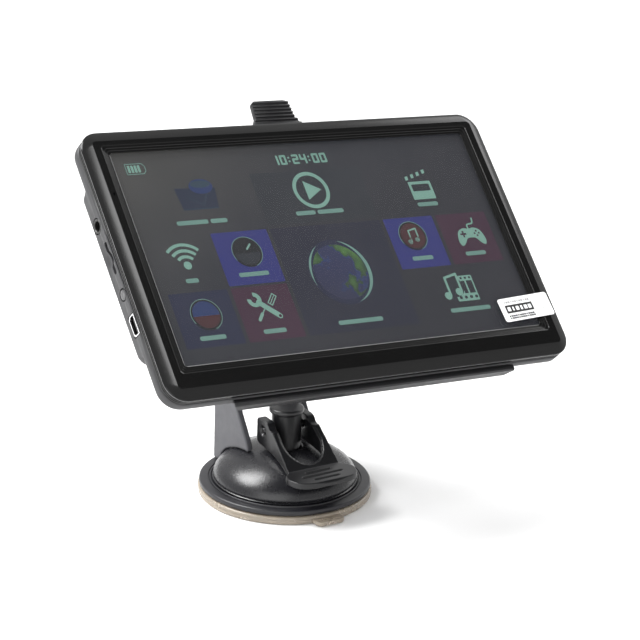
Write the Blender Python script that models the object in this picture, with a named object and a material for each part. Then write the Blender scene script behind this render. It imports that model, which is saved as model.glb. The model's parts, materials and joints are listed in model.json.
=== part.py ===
"""Portable GPS navigator in its cradle, on an arm with a suction mount.

World frame: metres, +Z up, origin at the centre of the suction pad's underside. The lever's thumb tab and the
screen face -Y. The display frame is an empty on the ball's centre, turned as the display rests: there +X runs
to the display's right, +Y to its top edge and +Z out of its screen. All named sizes below are millimetres.
"""

import math

import bmesh
import bpy
from mathutils import Matrix, Vector

MM = 0.001
GAP = 0.3  # air between two pieces that touch

# ---- driving dimensions: suction mount ----
PAD_RADIUS = 33.6
PAD_THICK = 3.0
FLANGE_RADIUS = 33.1
FLANGE_TOP = 5.4
DOME_RADIUS = 28.0
DOME_FOOT = FLANGE_TOP + GAP
DOME_TOP = 18.6
DOME_WALL = 2.0
STEM_RADIUS = 5.75
STEM_TOP = 34.8
PIN_HEIGHT = 26.2
PIN_RADIUS = 1.2
EAR_TOP = 30.6  # the lever's two ears, beside the stem
EAR_REAR = 4.5
EAR_HALF_WIDTH = 10.4
SLOT_HALF_WIDTH = 7.2
TAB_FOOT = -21.1  # where the lever's sloping front meets its thumb tab
TAB_TOP = 17.1
TAB_THICK = 2.5
CHEEK_OUTER = 15.4  # the arm's two cheeks
CHEEK_INNER = 12.9
ARM_SCREW_X = (CHEEK_INNER + CHEEK_OUTER) / 2
ARM_SCREW_Y = 27.2

# ---- driving dimensions: ball joint ----
BALL_CENTRE = (0.0, -3.4, 85.4)
BALL_RADIUS = 8.0
LINER_RADIUS = 8.8
CUP_INNER = 9.1
CUP_OUTER = 11.2
NUT_INNER = 11.5
NUT_OUTER = 14.0
SOCKET_ELEVATION = math.radians(46.0)  # the socket points forward and up, about as the display rests
BLOCK_FRONT = -16.3  # the arm's top block, along the socket's axis from the ball's centre
BLOCK_BACK = -23.0
BLOCK_HALF = 8.5
DISPLAY_LEAN = math.radians(45.74)
DISPLAY_YAW = math.radians(6.94)
DISPLAY_ROLL = math.radians(-6.19)

# ---- driving dimensions: navigator, from the centre of the screen opening ----
BALL_DEPTH = 31.0  # front face to the ball's centre
BODY_HALF_WIDTH = 88.0
BODY_TOP = 51.6
BODY_BOTTOM = -55.2
BODY_CORNER = 8.0
OPENING_HALF_WIDTH = 78.0
OPENING_HALF_HEIGHT = 42.7
OPENING_CORNER = 1.5
EDGE_ROUND_WIDTH = 4.3
EDGE_ROUND_DEPTH = 1.2
PARTING = 4.3  # depth of the front shell
THIN_DEPTH = 9.2
HUMP_DEPTH = 12.8
HUMP_TOP = 35.0
HUMP_BOTTOM = -37.5
CASE_WALL = 1.6
PORT_DEPTH = 7.0
JACK_V, JACK_DEPTH = 17.9, 8.3
CARD_V, CARD_DEPTH = 4.2, 6.7
BUTTON_V, BUTTON_RADIUS = -10.2, 2.0
USB_V = -22.3
CASE_SCREWS = [(82.2, 45.6), (-82.2, 45.6), (82.2, -49.2), (-82.2, -49.2)]
SPEAKER_U, SPEAKER_V, SPEAKER_RADIUS = 66.0, 0.0, 10.0
MIC_U, MIC_V = -82.0, 25.7

# ---- driving dimensions: cradle ----
LIP_HALF_WIDTH = 61.2
LIP_FRONT_DEPTH = 4.8
PLATE_THICK = 2.5
PLATE_TOP = 24.0
LATCH_TAB_TOP = 64.4
STUD_SCREW_CIRCLE = 9.0

ROUND = 36  # facets on a large round piece
SMALL = 16  # facets on a small one


# ---- materials ----
def plastic(name, colour, roughness, metallic=0.0, alpha=1.0):
    material = bpy.data.materials.new(name)
    material.use_nodes = True
    shader = material.node_tree.nodes["Principled BSDF"]
    shader.inputs["Base Color"].default_value = (*colour, 1.0)
    shader.inputs["Roughness"].default_value = roughness
    shader.inputs["Metallic"].default_value = metallic
    shader.inputs["Alpha"].default_value = alpha
    material.diffuse_color = (*colour, alpha)
    return material


# ---- outlines: lists of (a, b) points ----
def rounded_rect(half_a, low_b, high_b, radius, steps=5):
    points = []
    corners = [(half_a, high_b, 0), (-half_a, high_b, 90), (-half_a, low_b, 180), (half_a, low_b, 270)]
    for a, b, start in corners:
        centre_a = a - math.copysign(radius, a)
        centre_b = b - radius if b == high_b else b + radius
        for step in range(steps + 1):
            angle = math.radians(start + 90 * step / steps)
            points.append((centre_a + radius * math.cos(angle), centre_b + radius * math.sin(angle)))
    return points


def arc(centre_a, centre_b, radius, start_deg, end_deg, steps):
    points = []
    for step in range(steps + 1):
        angle = math.radians(start_deg + (end_deg - start_deg) * step / steps)
        points.append((centre_a + radius * math.cos(angle), centre_b + radius * math.sin(angle)))
    return points


def circle(centre_a, centre_b, radius, sides=SMALL):
    return arc(centre_a, centre_b, radius, 0, 360, sides)[:-1]


def smooth_curve(points, steps):
    """A Catmull-Rom curve through the points, for outlines that bend."""
    curve = []
    padded = [points[0], *points, points[-1]]
    for before, start, end, after in zip(padded, padded[1:], padded[2:], padded[3:]):
        for step in range(steps):
            t = step / steps
            curve.append(tuple(
                0.5 * (2 * q + (r - p) * t + (2 * p - 5 * q + 4 * r - s) * t * t
                       + (3 * q - p - 3 * r + s) * t ** 3)
                for p, q, r, s in zip(before, start, end, after)))
    curve.append(points[-1])
    return curve


# ---- solids ----
def place(name, mesh_bm, material, parent=None, smooth_deg=35.0):
    bmesh.ops.recalc_face_normals(mesh_bm, faces=mesh_bm.faces)
    mesh = bpy.data.meshes.new(name)
    mesh_bm.to_mesh(mesh)
    mesh_bm.free()
    if material:
        mesh.materials.append(material)
    mesh.shade_smooth()
    mesh.set_sharp_from_angle(angle=math.radians(smooth_deg))
    obj = bpy.data.objects.new(name, mesh)
    bpy.context.scene.collection.objects.link(obj)
    obj.parent = parent
    return obj


def loops_to_faces(mesh_bm, loops, closed=False):
    """Bridges rings of equal length, in order; closed joins the last ring to the first."""
    rings = [[mesh_bm.verts.new(Vector(point) * MM) for point in loop] for loop in loops]
    pairs = list(zip(rings, rings[1:] + rings[:1])) if closed else list(zip(rings, rings[1:]))
    for low, high in pairs:
        count = len(low)
        for i in range(count):
            j = (i + 1) % count
            mesh_bm.faces.new((low[i], low[j], high[j], high[i]))
    if not closed:
        mesh_bm.faces.new(rings[0])
        mesh_bm.faces.new(rings[-1])


AXES = {
    "x": lambda a, b, c: (c, a, b),
    "y": lambda a, b, c: (a, c, b),
    "z": lambda a, b, c: (a, b, c),
}


def loft(layers, axis="z", closed=False, into=None):
    """layers: (outline, height along the axis). Returns the bmesh."""
    mesh_bm = into or bmesh.new()
    turn = AXES[axis]
    loops_to_faces(mesh_bm, [[turn(a, b, height) for a, b in outline] for outline, height in layers], closed)
    return mesh_bm


def prism(outline, low, high, axis="z", into=None):
    return loft([(outline, low), (outline, high)], axis, into=into)


def box(low, high, into=None):
    outline = [(low[0], low[1]), (high[0], low[1]), (high[0], high[1]), (low[0], high[1])]
    return prism(outline, low[2], high[2], "z", into)


def lathe(profile, axis="z", centre=(0.0, 0.0), sides=ROUND, into=None):
    """Turns (radius, height) points about the axis; points at radius 0 close the ends."""
    mesh_bm = into or bmesh.new()
    turn = AXES[axis]
    rings = []
    for radius, height in profile:
        count = 1 if radius == 0 else sides
        ring = []
        for i in range(count):
            angle = 2 * math.pi * i / sides
            a = centre[0] + radius * math.cos(angle)
            b = centre[1] + radius * math.sin(angle)
            ring.append(mesh_bm.verts.new(Vector(turn(a, b, height)) * MM))
        rings.append(ring)
    pairs = list(zip(rings, rings[1:]))
    if len(rings[0]) > 1:
        pairs.append((rings[-1], rings[0]))
    for low, high in pairs:
        for i in range(sides):
            j = (i + 1) % sides
            corners = [low[i % len(low)], low[j % len(low)], high[j % len(high)], high[i % len(high)]]
            corners = list(dict.fromkeys(corners))
            if len(corners) > 2:
                mesh_bm.faces.new(corners)
    return mesh_bm


def rounded_disc(radius, low, high, edge, steps=3):
    """A turned disc's profile with its rims rounded."""
    profile = [(0, low)]
    profile += arc(radius - edge, low + edge, edge, -90, 0, steps)
    profile += arc(radius - edge, high - edge, edge, 0, 90, steps)
    profile.append((0, high))
    return profile


def combine(target, tool_bm, operation="DIFFERENCE"):
    """Cuts, joins or crosses the target with a tool solid in the same local frame."""
    tool = place(target.name + "_tool", tool_bm, None, target.parent)
    tool.hide_render = True
    tool.display_type = "WIRE"
    modifier = target.modifiers.new(operation.title(), "BOOLEAN")
    modifier.operation = operation
    modifier.solver = "EXACT"
    modifier.object = tool
    return tool


# ---- suction mount ----
def dome_outline(offset, steps=9):
    """The dome's outer line from its foot to the flat on top, moved outward by offset."""
    rise = DOME_TOP - DOME_FOOT
    flat_angle = 76
    points = []
    for radius, height in arc(0, 0, 1, 0, flat_angle, steps):
        crown = math.sin(math.radians(flat_angle))
        points.append(((DOME_RADIUS + offset) * radius, DOME_FOOT + (rise + offset) * height / crown))
    return points


def make_suction_pad():
    recess = 11.0
    floor = 0.8
    rim = 0.8
    profile = [(0, 0), (PAD_RADIUS - rim, 0)]
    profile += arc(PAD_RADIUS - rim, rim, rim, -60, 0, 2)
    profile += arc(PAD_RADIUS - rim, PAD_THICK - rim, rim, 0, 90, 3)
    profile += [(recess, PAD_THICK), (recess, floor), (0, floor)]
    pad = place("suction_pad", lathe(profile), plastic("clear_tpu", (0.62, 0.58, 0.50), 0.25, alpha=0.7))
    tab_half, tab_reach, tab_thick, tab_yaw = 6.0, 37.6, 1.6, math.radians(-92.0)
    tab = bmesh.new()
    outline = rounded_rect(tab_half, PAD_RADIUS - 4.0, tab_reach, 2.0)
    prism([(b, a) for a, b in outline], 0.4, 0.4 + tab_thick, into=tab)
    bmesh.ops.rotate(tab, verts=tab.verts, cent=(0, 0, 0), matrix=Matrix.Rotation(tab_yaw, 3, "Z"))
    combine(pad, tab, "UNION")


def make_base_flange():
    inner = 22.0
    low = PAD_THICK + GAP
    edge = 0.6
    lip_in, lip_out, lip_top = DOME_RADIUS + 0.5, DOME_RADIUS + 1.1, FLANGE_TOP + 0.45
    profile = [(inner, low), (FLANGE_RADIUS - edge, low)]
    profile += arc(FLANGE_RADIUS - edge, low + edge, edge, -60, 0, 2)
    profile += arc(FLANGE_RADIUS - edge, FLANGE_TOP - edge, edge, 0, 90, 3)
    profile += [(lip_out, FLANGE_TOP), (lip_out - 0.1, lip_top), (lip_in, lip_top), (lip_in, FLANGE_TOP),
                (inner, FLANGE_TOP)]
    flange = place("base_flange", lathe(profile), plastic("satin_black_flange", (0.045, 0.045, 0.05), 0.42))
    holes = bmesh.new()
    for side in (-1, 1):
        lathe([(0, low - 1), (1.3, low - 1), (1.3, FLANGE_TOP + 1), (0, FLANGE_TOP + 1)],
              centre=(side * ARM_SCREW_X, ARM_SCREW_Y), sides=SMALL, into=holes)
    combine(flange, holes)


def make_dome_cover():
    outer = dome_outline(0.0)
    inner = [(radius, height - 0.2) for radius, height in dome_outline(-DOME_WALL, 5)]
    bore = STEM_RADIUS + 0.5
    profile = [(inner[0][0], DOME_FOOT), *outer, (bore, DOME_TOP), (bore, inner[-1][1]), *reversed(inner[1:])]
    place("dome_cover", lathe(profile), plastic("satin_black_dome", (0.035, 0.035, 0.038), 0.36))


def make_stem():
    plate_radius, plate_low, plate_high = 10.0, PAD_THICK + 0.25, PAD_THICK + 1.5
    cap_radius, cap_low, edge = STEM_RADIUS + 1.0, STEM_TOP - 2.2, 0.9
    profile = [(0, plate_low), (plate_radius, plate_low), (plate_radius, plate_high)]
    profile += [(STEM_RADIUS + 0.8, plate_high), (STEM_RADIUS, plate_high + 0.8), (STEM_RADIUS, cap_low - 0.6)]
    profile += [(cap_radius, cap_low)]
    profile += arc(cap_radius - edge, STEM_TOP - edge, edge, 0, 90, 3)
    profile += [(0, STEM_TOP)]
    stem = place("stem", lathe(profile, sides=32), plastic("satin_black_stem", (0.05, 0.05, 0.052), 0.38))
    reach = STEM_RADIUS + 1
    combine(stem, lathe([(0, -reach), (PIN_RADIUS + GAP, -reach), (PIN_RADIUS + GAP, reach), (0, reach)],
                        "x", (0, PIN_HEIGHT), SMALL))


def make_return_spring():
    """A helical spring round the stem, between its plate and the dome's roof."""
    coil_radius, wire, turns, per_turn = 8.0, 0.55, 3.5, 11
    low, high = PAD_THICK + 1.9 + wire, DOME_TOP - DOME_WALL - 0.8 - wire
    curve = bpy.data.curves.new("return_spring", "CURVE")
    curve.dimensions = "3D"
    curve.bevel_depth = wire * MM
    curve.bevel_resolution = 1
    curve.use_fill_caps = True
    spline = curve.splines.new("POLY")
    count = int(turns * per_turn)
    spline.points.add(count)
    for i, point in enumerate(spline.points):
        angle = 2 * math.pi * i / per_turn
        height = low + (high - low) * i / count
        place_mm = Vector((coil_radius * math.cos(angle), coil_radius * math.sin(angle), height)) * MM
        point.co = (*place_mm, 1.0)
    curve.materials.append(plastic("spring_steel", (0.55, 0.55, 0.57), 0.3, 1.0))
    spring = bpy.data.objects.new("return_spring", curve)
    bpy.context.scene.collection.objects.link(spring)


def lever_side():
    """The lever seen from its side: ears about the pin, sloping front, level thumb tab. (y, z) points."""
    corner, ear_bottom, nose = 2.0, PIN_HEIGHT - 6.0, -34.6
    tab_low = TAB_TOP - TAB_THICK
    ears = arc(EAR_REAR - corner, ear_bottom + corner, corner, -90, 0, 3)
    ears += arc(EAR_REAR - 1.5, EAR_TOP - 1.5, 1.5, 0, 90, 2)
    tab = [(-3.6, EAR_TOP), (-4.5, EAR_TOP - 0.4), (TAB_FOOT, TAB_TOP), (nose + 0.8, TAB_TOP),
           (nose, TAB_TOP - 0.8), (nose, tab_low + 0.6), (nose + 0.6, tab_low)]
    under = [(-24.5, tab_low), (TAB_FOOT, tab_low + 0.4), (-18.0, 16.4), (-13.5, 18.0), (-6.0, 19.4)]
    return ears + tab + under


def mirrored(half):
    """Closes a half outline that ends on the centre plane."""
    return half + [(-a, b) for a, b in reversed(half) if a != 0]


def make_lever():
    foot_half, tab_half = 11.2, 14.4
    lever = place("lever", prism(lever_side(), -tab_half - 1, tab_half + 1, "x"),
                  plastic("black_lever", (0.018, 0.018, 0.02), 0.45))
    plan = [(EAR_HALF_WIDTH, EAR_REAR + 1), (EAR_HALF_WIDTH, -8.0), (foot_half, TAB_FOOT)]
    plan += smooth_curve([(13.3, -22.7), (tab_half, -25.5), (14.1, -28.5), (12.6, -31.6), (9.5, -33.4),
                          (4.5, -34.4), (0, -34.7)], 2)
    combine(lever, prism(mirrored(plan), 5.0, 45.0), "INTERSECT")
    slot_round, slot_centre = 7.8, -11.2
    slot = [(SLOT_HALF_WIDTH, EAR_REAR + 5), (SLOT_HALF_WIDTH, -4.0), *arc(0, slot_centre, slot_round, 0, -90, 5)]
    combine(lever, prism(mirrored(slot), 5.0, 45.0))
    bore = PIN_RADIUS + GAP
    reach = EAR_HALF_WIDTH + 1
    combine(lever, lathe([(0, -reach), (bore, -reach), (bore, reach), (0, reach)], "x", (0, PIN_HEIGHT), SMALL))
    grooves = bmesh.new()
    width, depth = 0.9, 0.5
    for centre, half_length in ((-24.4, 5.7), (-27.6, 8.7), (-30.9, 5.7)):
        prism(rounded_rect(half_length, centre - width / 2, centre + width / 2, 0.42, 2), TAB_TOP - depth,
              TAB_TOP + 1, into=grooves)
    combine(lever, grooves)


def make_lever_pin():
    reach = EAR_HALF_WIDTH - 0.1
    pin = lathe(rounded_disc(PIN_RADIUS, -reach, reach, 0.3, 2), "x", (0, PIN_HEIGHT), SMALL)
    place("lever_pin", pin, plastic("pin_steel", (0.45, 0.45, 0.47), 0.3, 1.0))


def socket_empty(name):
    """An empty on the ball's centre whose +Z runs out of the socket, forward and up."""
    empty = bpy.data.objects.new(name, None)
    empty.location = Vector(BALL_CENTRE) * MM
    empty.rotation_euler = (math.pi / 2 - SOCKET_ELEVATION, 0, 0)
    bpy.context.scene.collection.objects.link(empty)
    return empty


def socket_point(across, along):
    """World (y, z) of a point of the socket frame, across (up and back) and along its axis."""
    tilt = math.pi / 2 - SOCKET_ELEVATION
    y = BALL_CENTRE[1] + across * math.cos(tilt) - along * math.sin(tilt)
    z = BALL_CENTRE[2] + across * math.sin(tilt) + along * math.cos(tilt)
    return y, z


def make_arm_yoke():
    front = smooth_curve([(1.6, DOME_FOOT), (2.7, 18.0), (6.8, 25.0), (11.4, 32.0), (14.4, 43.0), (11.2, 53.0),
                          socket_point(-BLOCK_HALF - 1.5, BLOCK_BACK + 2.0),
                          socket_point(-BLOCK_HALF, BLOCK_FRONT)], 3)
    back = smooth_curve([socket_point(BLOCK_HALF, BLOCK_FRONT), socket_point(BLOCK_HALF, BLOCK_BACK),
                         (27.4, 58.0), (29.2, 46.0), (29.2, 30.0), (29.2, DOME_FOOT)], 3)
    arm = place("arm_yoke", prism(front + back, -CHEEK_OUTER, CHEEK_OUTER, "x"),
                plastic("satin_grey_arm", (0.10, 0.10, 0.105), 0.45))
    under_block = [socket_point(-30.0, BLOCK_BACK), socket_point(30.0, BLOCK_BACK), (40.0, 60.0), (40.0, 11.0),
                   (26.0, 11.0), (26.0, 0.0), (-30.0, 0.0), (-30.0, 62.0)]
    combine(arm, prism(under_block, -CHEEK_INNER, CHEEK_INNER, "x"))
    low = DOME_FOOT - 3
    dome_room = [(0, low), (DOME_RADIUS + 1.4, low), (DOME_RADIUS + 1.4, DOME_FOOT + 0.5)]
    dome_room += dome_outline(GAP + 0.1)[1:] + [(0, DOME_TOP + GAP + 0.1)]
    combine(arm, lathe(dome_room))
    bores = bmesh.new()
    for side in (-1, 1):
        lathe([(0, 0), (0.95, 0), (0.95, DOME_FOOT + 8), (0, DOME_FOOT + 8)],
              centre=(side * ARM_SCREW_X, ARM_SCREW_Y), sides=12, into=bores)
    combine(arm, bores)
    bore = lathe([(0, BLOCK_BACK - 3), (1.9, BLOCK_BACK - 3), (1.9, BLOCK_FRONT + 3), (0, BLOCK_FRONT + 3)],
                 sides=SMALL)
    bmesh.ops.transform(bore, verts=bore.verts, matrix=SOCKET.matrix_basis)
    combine(arm, bore)


def make_arm_screws():
    """Two screws that come up through the flange into the arm's feet, their heads inside the pad's rim gap."""
    material = plastic("screw_steel", (0.4, 0.4, 0.42), 0.35, 1.0)
    low, shank_end = PAD_THICK + GAP + 0.1, DOME_FOOT + 7.2
    for name, side in (("arm_screw_left", -1), ("arm_screw_right", 1)):
        screw = lathe([(0, low), (0.65, low), (0.65, shank_end), (0, shank_end + 0.4)],
                      centre=(side * ARM_SCREW_X, ARM_SCREW_Y), sides=12)
        place(name, screw, material)


def make_socket():
    cup_top = 3.2
    outer_top = math.degrees(math.asin(cup_top / CUP_OUTER))
    inner_top = math.degrees(math.asin(cup_top / CUP_INNER))
    neck_radius, neck_end = 6.5, BLOCK_FRONT + GAP
    low_angle = -math.degrees(math.acos(neck_radius / CUP_OUTER))
    profile = [(0, neck_end), (neck_radius, neck_end)]
    profile += arc(0, 0, CUP_OUTER, low_angle, outer_top, 6)
    profile += arc(0, 0, CUP_INNER, inner_top, -90, 8)[:-1]
    profile += [(0, -CUP_INNER)]
    cup = place("socket_cup", lathe(profile, sides=28), plastic("black_cup", (0.03, 0.03, 0.032), 0.4), SOCKET)
    bore_top = -CUP_INNER - 1.6
    combine(cup, lathe([(0, neck_end - 1), (1.5, neck_end - 1), (1.5, bore_top), (0, bore_top)], sides=SMALL))

    head_low, head_high = BLOCK_BACK - 2.2, BLOCK_BACK - GAP
    screw = [(0, head_low), (2.9, head_low), (3.2, head_low + 0.4), (3.2, head_high), (1.2, head_high),
             (1.2, bore_top - 0.5), (0, bore_top - 0.5)]
    screw_obj = place("socket_screw", lathe(screw, sides=SMALL), plastic("zinc_screw", (0.5, 0.5, 0.52), 0.3, 1.0),
                      SOCKET)
    combine(screw_obj, prism(circle(0, 0, 1.4, 6), head_low - 1, head_low + 1.2))

    liner_inner = BALL_RADIUS + 0.3
    liner_top = 15
    liner = arc(0, 0, LINER_RADIUS, -70, liner_top, 6) + arc(0, 0, liner_inner, liner_top, -70, 6)
    place("socket_liner", lathe(liner, sides=28), plastic("nylon_liner", (0.72, 0.72, 0.70), 0.5), SOCKET)

    nut_low, nut_high, lip_low, lip_radius = -4.0, 5.5, 3.7, 7.3
    nut = [(NUT_INNER, nut_low), (NUT_OUTER - 0.6, nut_low), (NUT_OUTER, nut_low + 0.6),
           (NUT_OUTER, nut_high - 1.2), (NUT_OUTER - 1.2, nut_high), (lip_radius + 0.4, nut_high),
           (lip_radius, nut_high - 0.4), (lip_radius, lip_low), (NUT_INNER, lip_low)]
    lock_nut = place("lock_nut", lathe(nut, sides=36), plastic("black_nut", (0.022, 0.022, 0.024), 0.5), SOCKET)
    flutes = bmesh.new()
    flute_count = 12
    for i in range(flute_count):
        angle = 2 * math.pi * i / flute_count
        reach = NUT_OUTER + 0.5
        prism(circle(reach * math.cos(angle), reach * math.sin(angle), 1.5, 8), nut_low - 1, nut_high - 1.6,
              into=flutes)
    combine(lock_nut, flutes)


# ---- cradle and navigator, in the display frame ----
def display_face(name):
    """The empty in the middle of the screen opening, carried by one on the ball's centre."""
    empty = bpy.data.objects.new(name, None)
    empty.location = Vector(BALL_CENTRE) * MM
    upright = Matrix.Rotation(math.pi / 2, 4, "X")
    lean = Matrix.Rotation(-DISPLAY_LEAN, 4, "X")
    yaw = Matrix.Rotation(DISPLAY_YAW, 4, "Z")
    roll = Matrix.Rotation(DISPLAY_ROLL, 4, "Z")
    empty.rotation_euler = (yaw @ lean @ upright @ roll).to_euler()
    bpy.context.scene.collection.objects.link(empty)
    face = bpy.data.objects.new(name + "_face", None)
    face.parent = empty
    face.location = (0, 0, BALL_DEPTH * MM)
    bpy.context.scene.collection.objects.link(face)
    return face


def make_ball_stud():
    seat = -(HUMP_DEPTH + GAP + PLATE_THICK + GAP)
    flange_radius, flange_thick, neck = 12.0, 2.2, 3.6
    bore, bore_end = 2.9, 1.0
    neck_angle = math.degrees(math.acos(neck / BALL_RADIUS))
    bore_angle = -math.degrees(math.acos(bore / BALL_RADIUS))
    profile = [(0, seat), (flange_radius, seat), (flange_radius, seat - flange_thick + 0.5),
               (flange_radius - 0.5, seat - flange_thick), (6.0, seat - flange_thick),
               (4.3, seat - flange_thick - 1.0), (neck, seat - flange_thick - 2.6)]
    profile += arc(0, -BALL_DEPTH, BALL_RADIUS, neck_angle, bore_angle, 8)
    profile += [(bore, -BALL_DEPTH + bore_end), (bore * 0.6, -BALL_DEPTH + bore_end + 1.8),
                (0, -BALL_DEPTH + bore_end + 2.2)]
    stud = place("ball_stud", lathe(profile, sides=28), plastic("black_stud", (0.03, 0.03, 0.03), 0.35), FACE)
    combine(stud, stud_screw_holes(1.2))
    core = lathe(rounded_disc(2.4, -BALL_DEPTH - 2.4, -BALL_DEPTH + 2.4, 2.3, 3), sides=12)
    place("pivot_core", core, plastic("core_steel", (0.5, 0.5, 0.52), 0.25, 1.0), FACE)
    head_low = seat - flange_thick - GAP - 1.2
    steel = plastic("stud_screw_steel", (0.4, 0.4, 0.42), 0.35, 1.0)
    tip = seat + GAP + PLATE_THICK - 0.3
    for number, (u, v) in enumerate(stud_screw_places(), 1):
        screw = lathe([(0, head_low), (1.3, head_low), (1.7, head_low + 0.4), (1.7, head_low + 1.2),
                       (0.85, head_low + 1.2), (0.85, tip), (0, tip)], centre=(u, v), sides=12)
        place(f"stud_screw_{number}", screw, steel, FACE)


def stud_screw_places():
    places = []
    for quarter in range(4):
        angle = math.radians(45 + 90 * quarter)
        places.append((STUD_SCREW_CIRCLE * math.cos(angle), STUD_SCREW_CIRCLE * math.sin(angle)))
    return places


def stud_screw_holes(radius):
    holes = bmesh.new()
    for u, v in stud_screw_places():
        lathe([(0, -25.0), (radius, -25.0), (radius, -10.0), (0, -10.0)], centre=(u, v), sides=12, into=holes)
    return holes


def make_cradle_plate():
    front = -(THIN_DEPTH + GAP)
    hump_front = -(HUMP_DEPTH + GAP)
    shelf_top = BODY_BOTTOM - GAP
    shelf_low = shelf_top - 2.2
    section = [(shelf_top, -LIP_FRONT_DEPTH), (shelf_top, front), (HUMP_BOTTOM - 0.6, front),
               (HUMP_BOTTOM + 3.0, hump_front), (PLATE_TOP, hump_front), (PLATE_TOP, hump_front - PLATE_THICK),
               (HUMP_BOTTOM + 1.9, hump_front - PLATE_THICK), (HUMP_BOTTOM - 2.0, front - PLATE_THICK),
               (shelf_top + 1.4, front - PLATE_THICK), (shelf_low + 1.0, front - 0.9), (shelf_low, front + 0.6),
               (shelf_low, -LIP_FRONT_DEPTH - 0.5), (shelf_low + 0.5, -LIP_FRONT_DEPTH)]
    plate = place("cradle_plate", prism(section, -LIP_HALF_WIDTH, LIP_HALF_WIDTH, "x"),
                  plastic("satin_black_cradle", (0.04, 0.04, 0.042), 0.42), FACE)
    waist, shoulder = 32.0, 56.5
    half = [(10.0, PLATE_TOP + 5), (24.0, PLATE_TOP + 5), (24.0, PLATE_TOP - 4)]
    half += smooth_curve([(30.5, PLATE_TOP - 9), (waist, 8.0), (waist, -14.0), (36.0, -27.0), (46.0, -37.0),
                          (shoulder, -44.0), (shoulder, -51.5), (LIP_HALF_WIDTH - 1.5, -54.0)], 3)
    half += [(LIP_HALF_WIDTH, -55.0), (LIP_HALF_WIDTH, -70.0)]
    combine(plate, prism(mirrored(half), -40.0, 0.0), "INTERSECT")
    corner = 5.0
    ends = [(-LIP_HALF_WIDTH, -LIP_FRONT_DEPTH + 1), (LIP_HALF_WIDTH, -LIP_FRONT_DEPTH + 1),
            (LIP_HALF_WIDTH, -LIP_FRONT_DEPTH - 0.8), (LIP_HALF_WIDTH - corner, -11.6),
            (LIP_HALF_WIDTH - corner, -20.0), (-LIP_HALF_WIDTH + corner, -20.0), (-LIP_HALF_WIDTH + corner, -11.6),
            (-LIP_HALF_WIDTH, -LIP_FRONT_DEPTH - 0.8)]
    combine(plate, prism(ends, -80.0, 40.0, "y"), "INTERSECT")
    combine(plate, stud_screw_holes(1.2))


def make_latch_tab():
    """The sprung catch: an arm up the back, a hook over the top edge, a ribbed thumb tab."""
    hump_front = -(HUMP_DEPTH + GAP)
    thin_front = -(THIN_DEPTH + GAP)
    hook_low = BODY_TOP + GAP
    root = PLATE_TOP + 0.7
    ribs, rib_pitch, rib_low, face, rib_face = 6, 1.5, hook_low + 3.3, -5.4, -4.9
    section = [(root, hump_front), (33.0, hump_front), (37.0, thin_front), (hook_low, thin_front),
               (hook_low, -4.4), (hook_low + 2.0, -4.4), (hook_low + 2.3, face)]
    for i in range(ribs):
        low = rib_low + rib_pitch * i
        section += [(low, face), (low + 0.25, rib_face), (low + 0.75, rib_face), (low + 1.0, face)]
    section += [(LATCH_TAB_TOP, face - 0.3), (LATCH_TAB_TOP, face - 1.8), (hook_low + 3.2, face - 2.2),
                (hook_low + 2.4, thin_front - 1.0), (hook_low + 0.6, thin_front - 2.2), (36.0, thin_front - 2.2),
                (32.0, hump_front - 2.2), (root, hump_front - 2.2)]
    latch = place("latch_tab", prism(section, -12.0, 12.0, "x"),
                  plastic("satin_black_latch", (0.03, 0.03, 0.032), 0.45), FACE)
    half = [(8.0, root - 2), (8.0, 48.0), (10.2, 51.0), (10.2, hook_low + 2.4), (8.6, hook_low + 5.0),
            (8.2, LATCH_TAB_TOP - 2.4)]
    half += arc(6.0, LATCH_TAB_TOP - 2.2, 2.2, 10, 90, 4)
    combine(latch, prism(mirrored(half), -30.0, 5.0), "INTERSECT")


def body_outline(inset, corner=BODY_CORNER):
    radius = max(corner - inset, 1.0)
    return rounded_rect(BODY_HALF_WIDTH - inset, BODY_BOTTOM + inset, BODY_TOP - inset, radius)


def opening_outline(outset, corner=OPENING_CORNER):
    return rounded_rect(OPENING_HALF_WIDTH + outset, -OPENING_HALF_HEIGHT - outset,
                        OPENING_HALF_HEIGHT + outset, corner)


def make_front_bezel():
    side_step = 0.4
    bevel_width, bevel_depth, rim = 2.0, 0.8, 1.0
    pocket = 1.8
    back = 3.0
    layers = [(body_outline(side_step), -PARTING), (body_outline(side_step), -1.6), (body_outline(0.0), -1.5)]
    steps = 4
    for step in range(steps + 1):
        angle = math.radians(90 * step / steps)
        inset = EDGE_ROUND_WIDTH * (1 - math.cos(angle))
        layers.append((body_outline(inset), -EDGE_ROUND_DEPTH * (1 - math.sin(angle))))
    layers += [(opening_outline(bevel_width), 0.0), (opening_outline(0.0), -bevel_depth),
               (opening_outline(0.0), -rim), (opening_outline(pocket), -rim), (opening_outline(pocket), -back),
               (body_outline(side_step + CASE_WALL), -back), (body_outline(side_step + CASE_WALL), -PARTING)]
    bezel = place("front_bezel", loft(layers, closed=True), plastic("black_bezel", (0.02, 0.02, 0.021), 0.35), FACE)
    bosses = bmesh.new()
    bores = bmesh.new()
    for u, v in CASE_SCREWS:
        lathe([(0, -7.2), (2.6, -7.2), (2.6, -back + 0.6), (0, -back + 0.6)], centre=(u, v), sides=SMALL, into=bosses)
        lathe([(0, -8.2), (1.3, -8.2), (1.3, -back), (0, -back)], centre=(u, v), sides=12, into=bores)
    combine(bezel, bosses, "UNION")
    combine(bezel, bores)
    combine(bezel, lathe([(0, -4.0), (0.5, -4.0), (0.5, 1.0), (0, 1.0)], centre=(MIC_U, MIC_V), sides=10))


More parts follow.
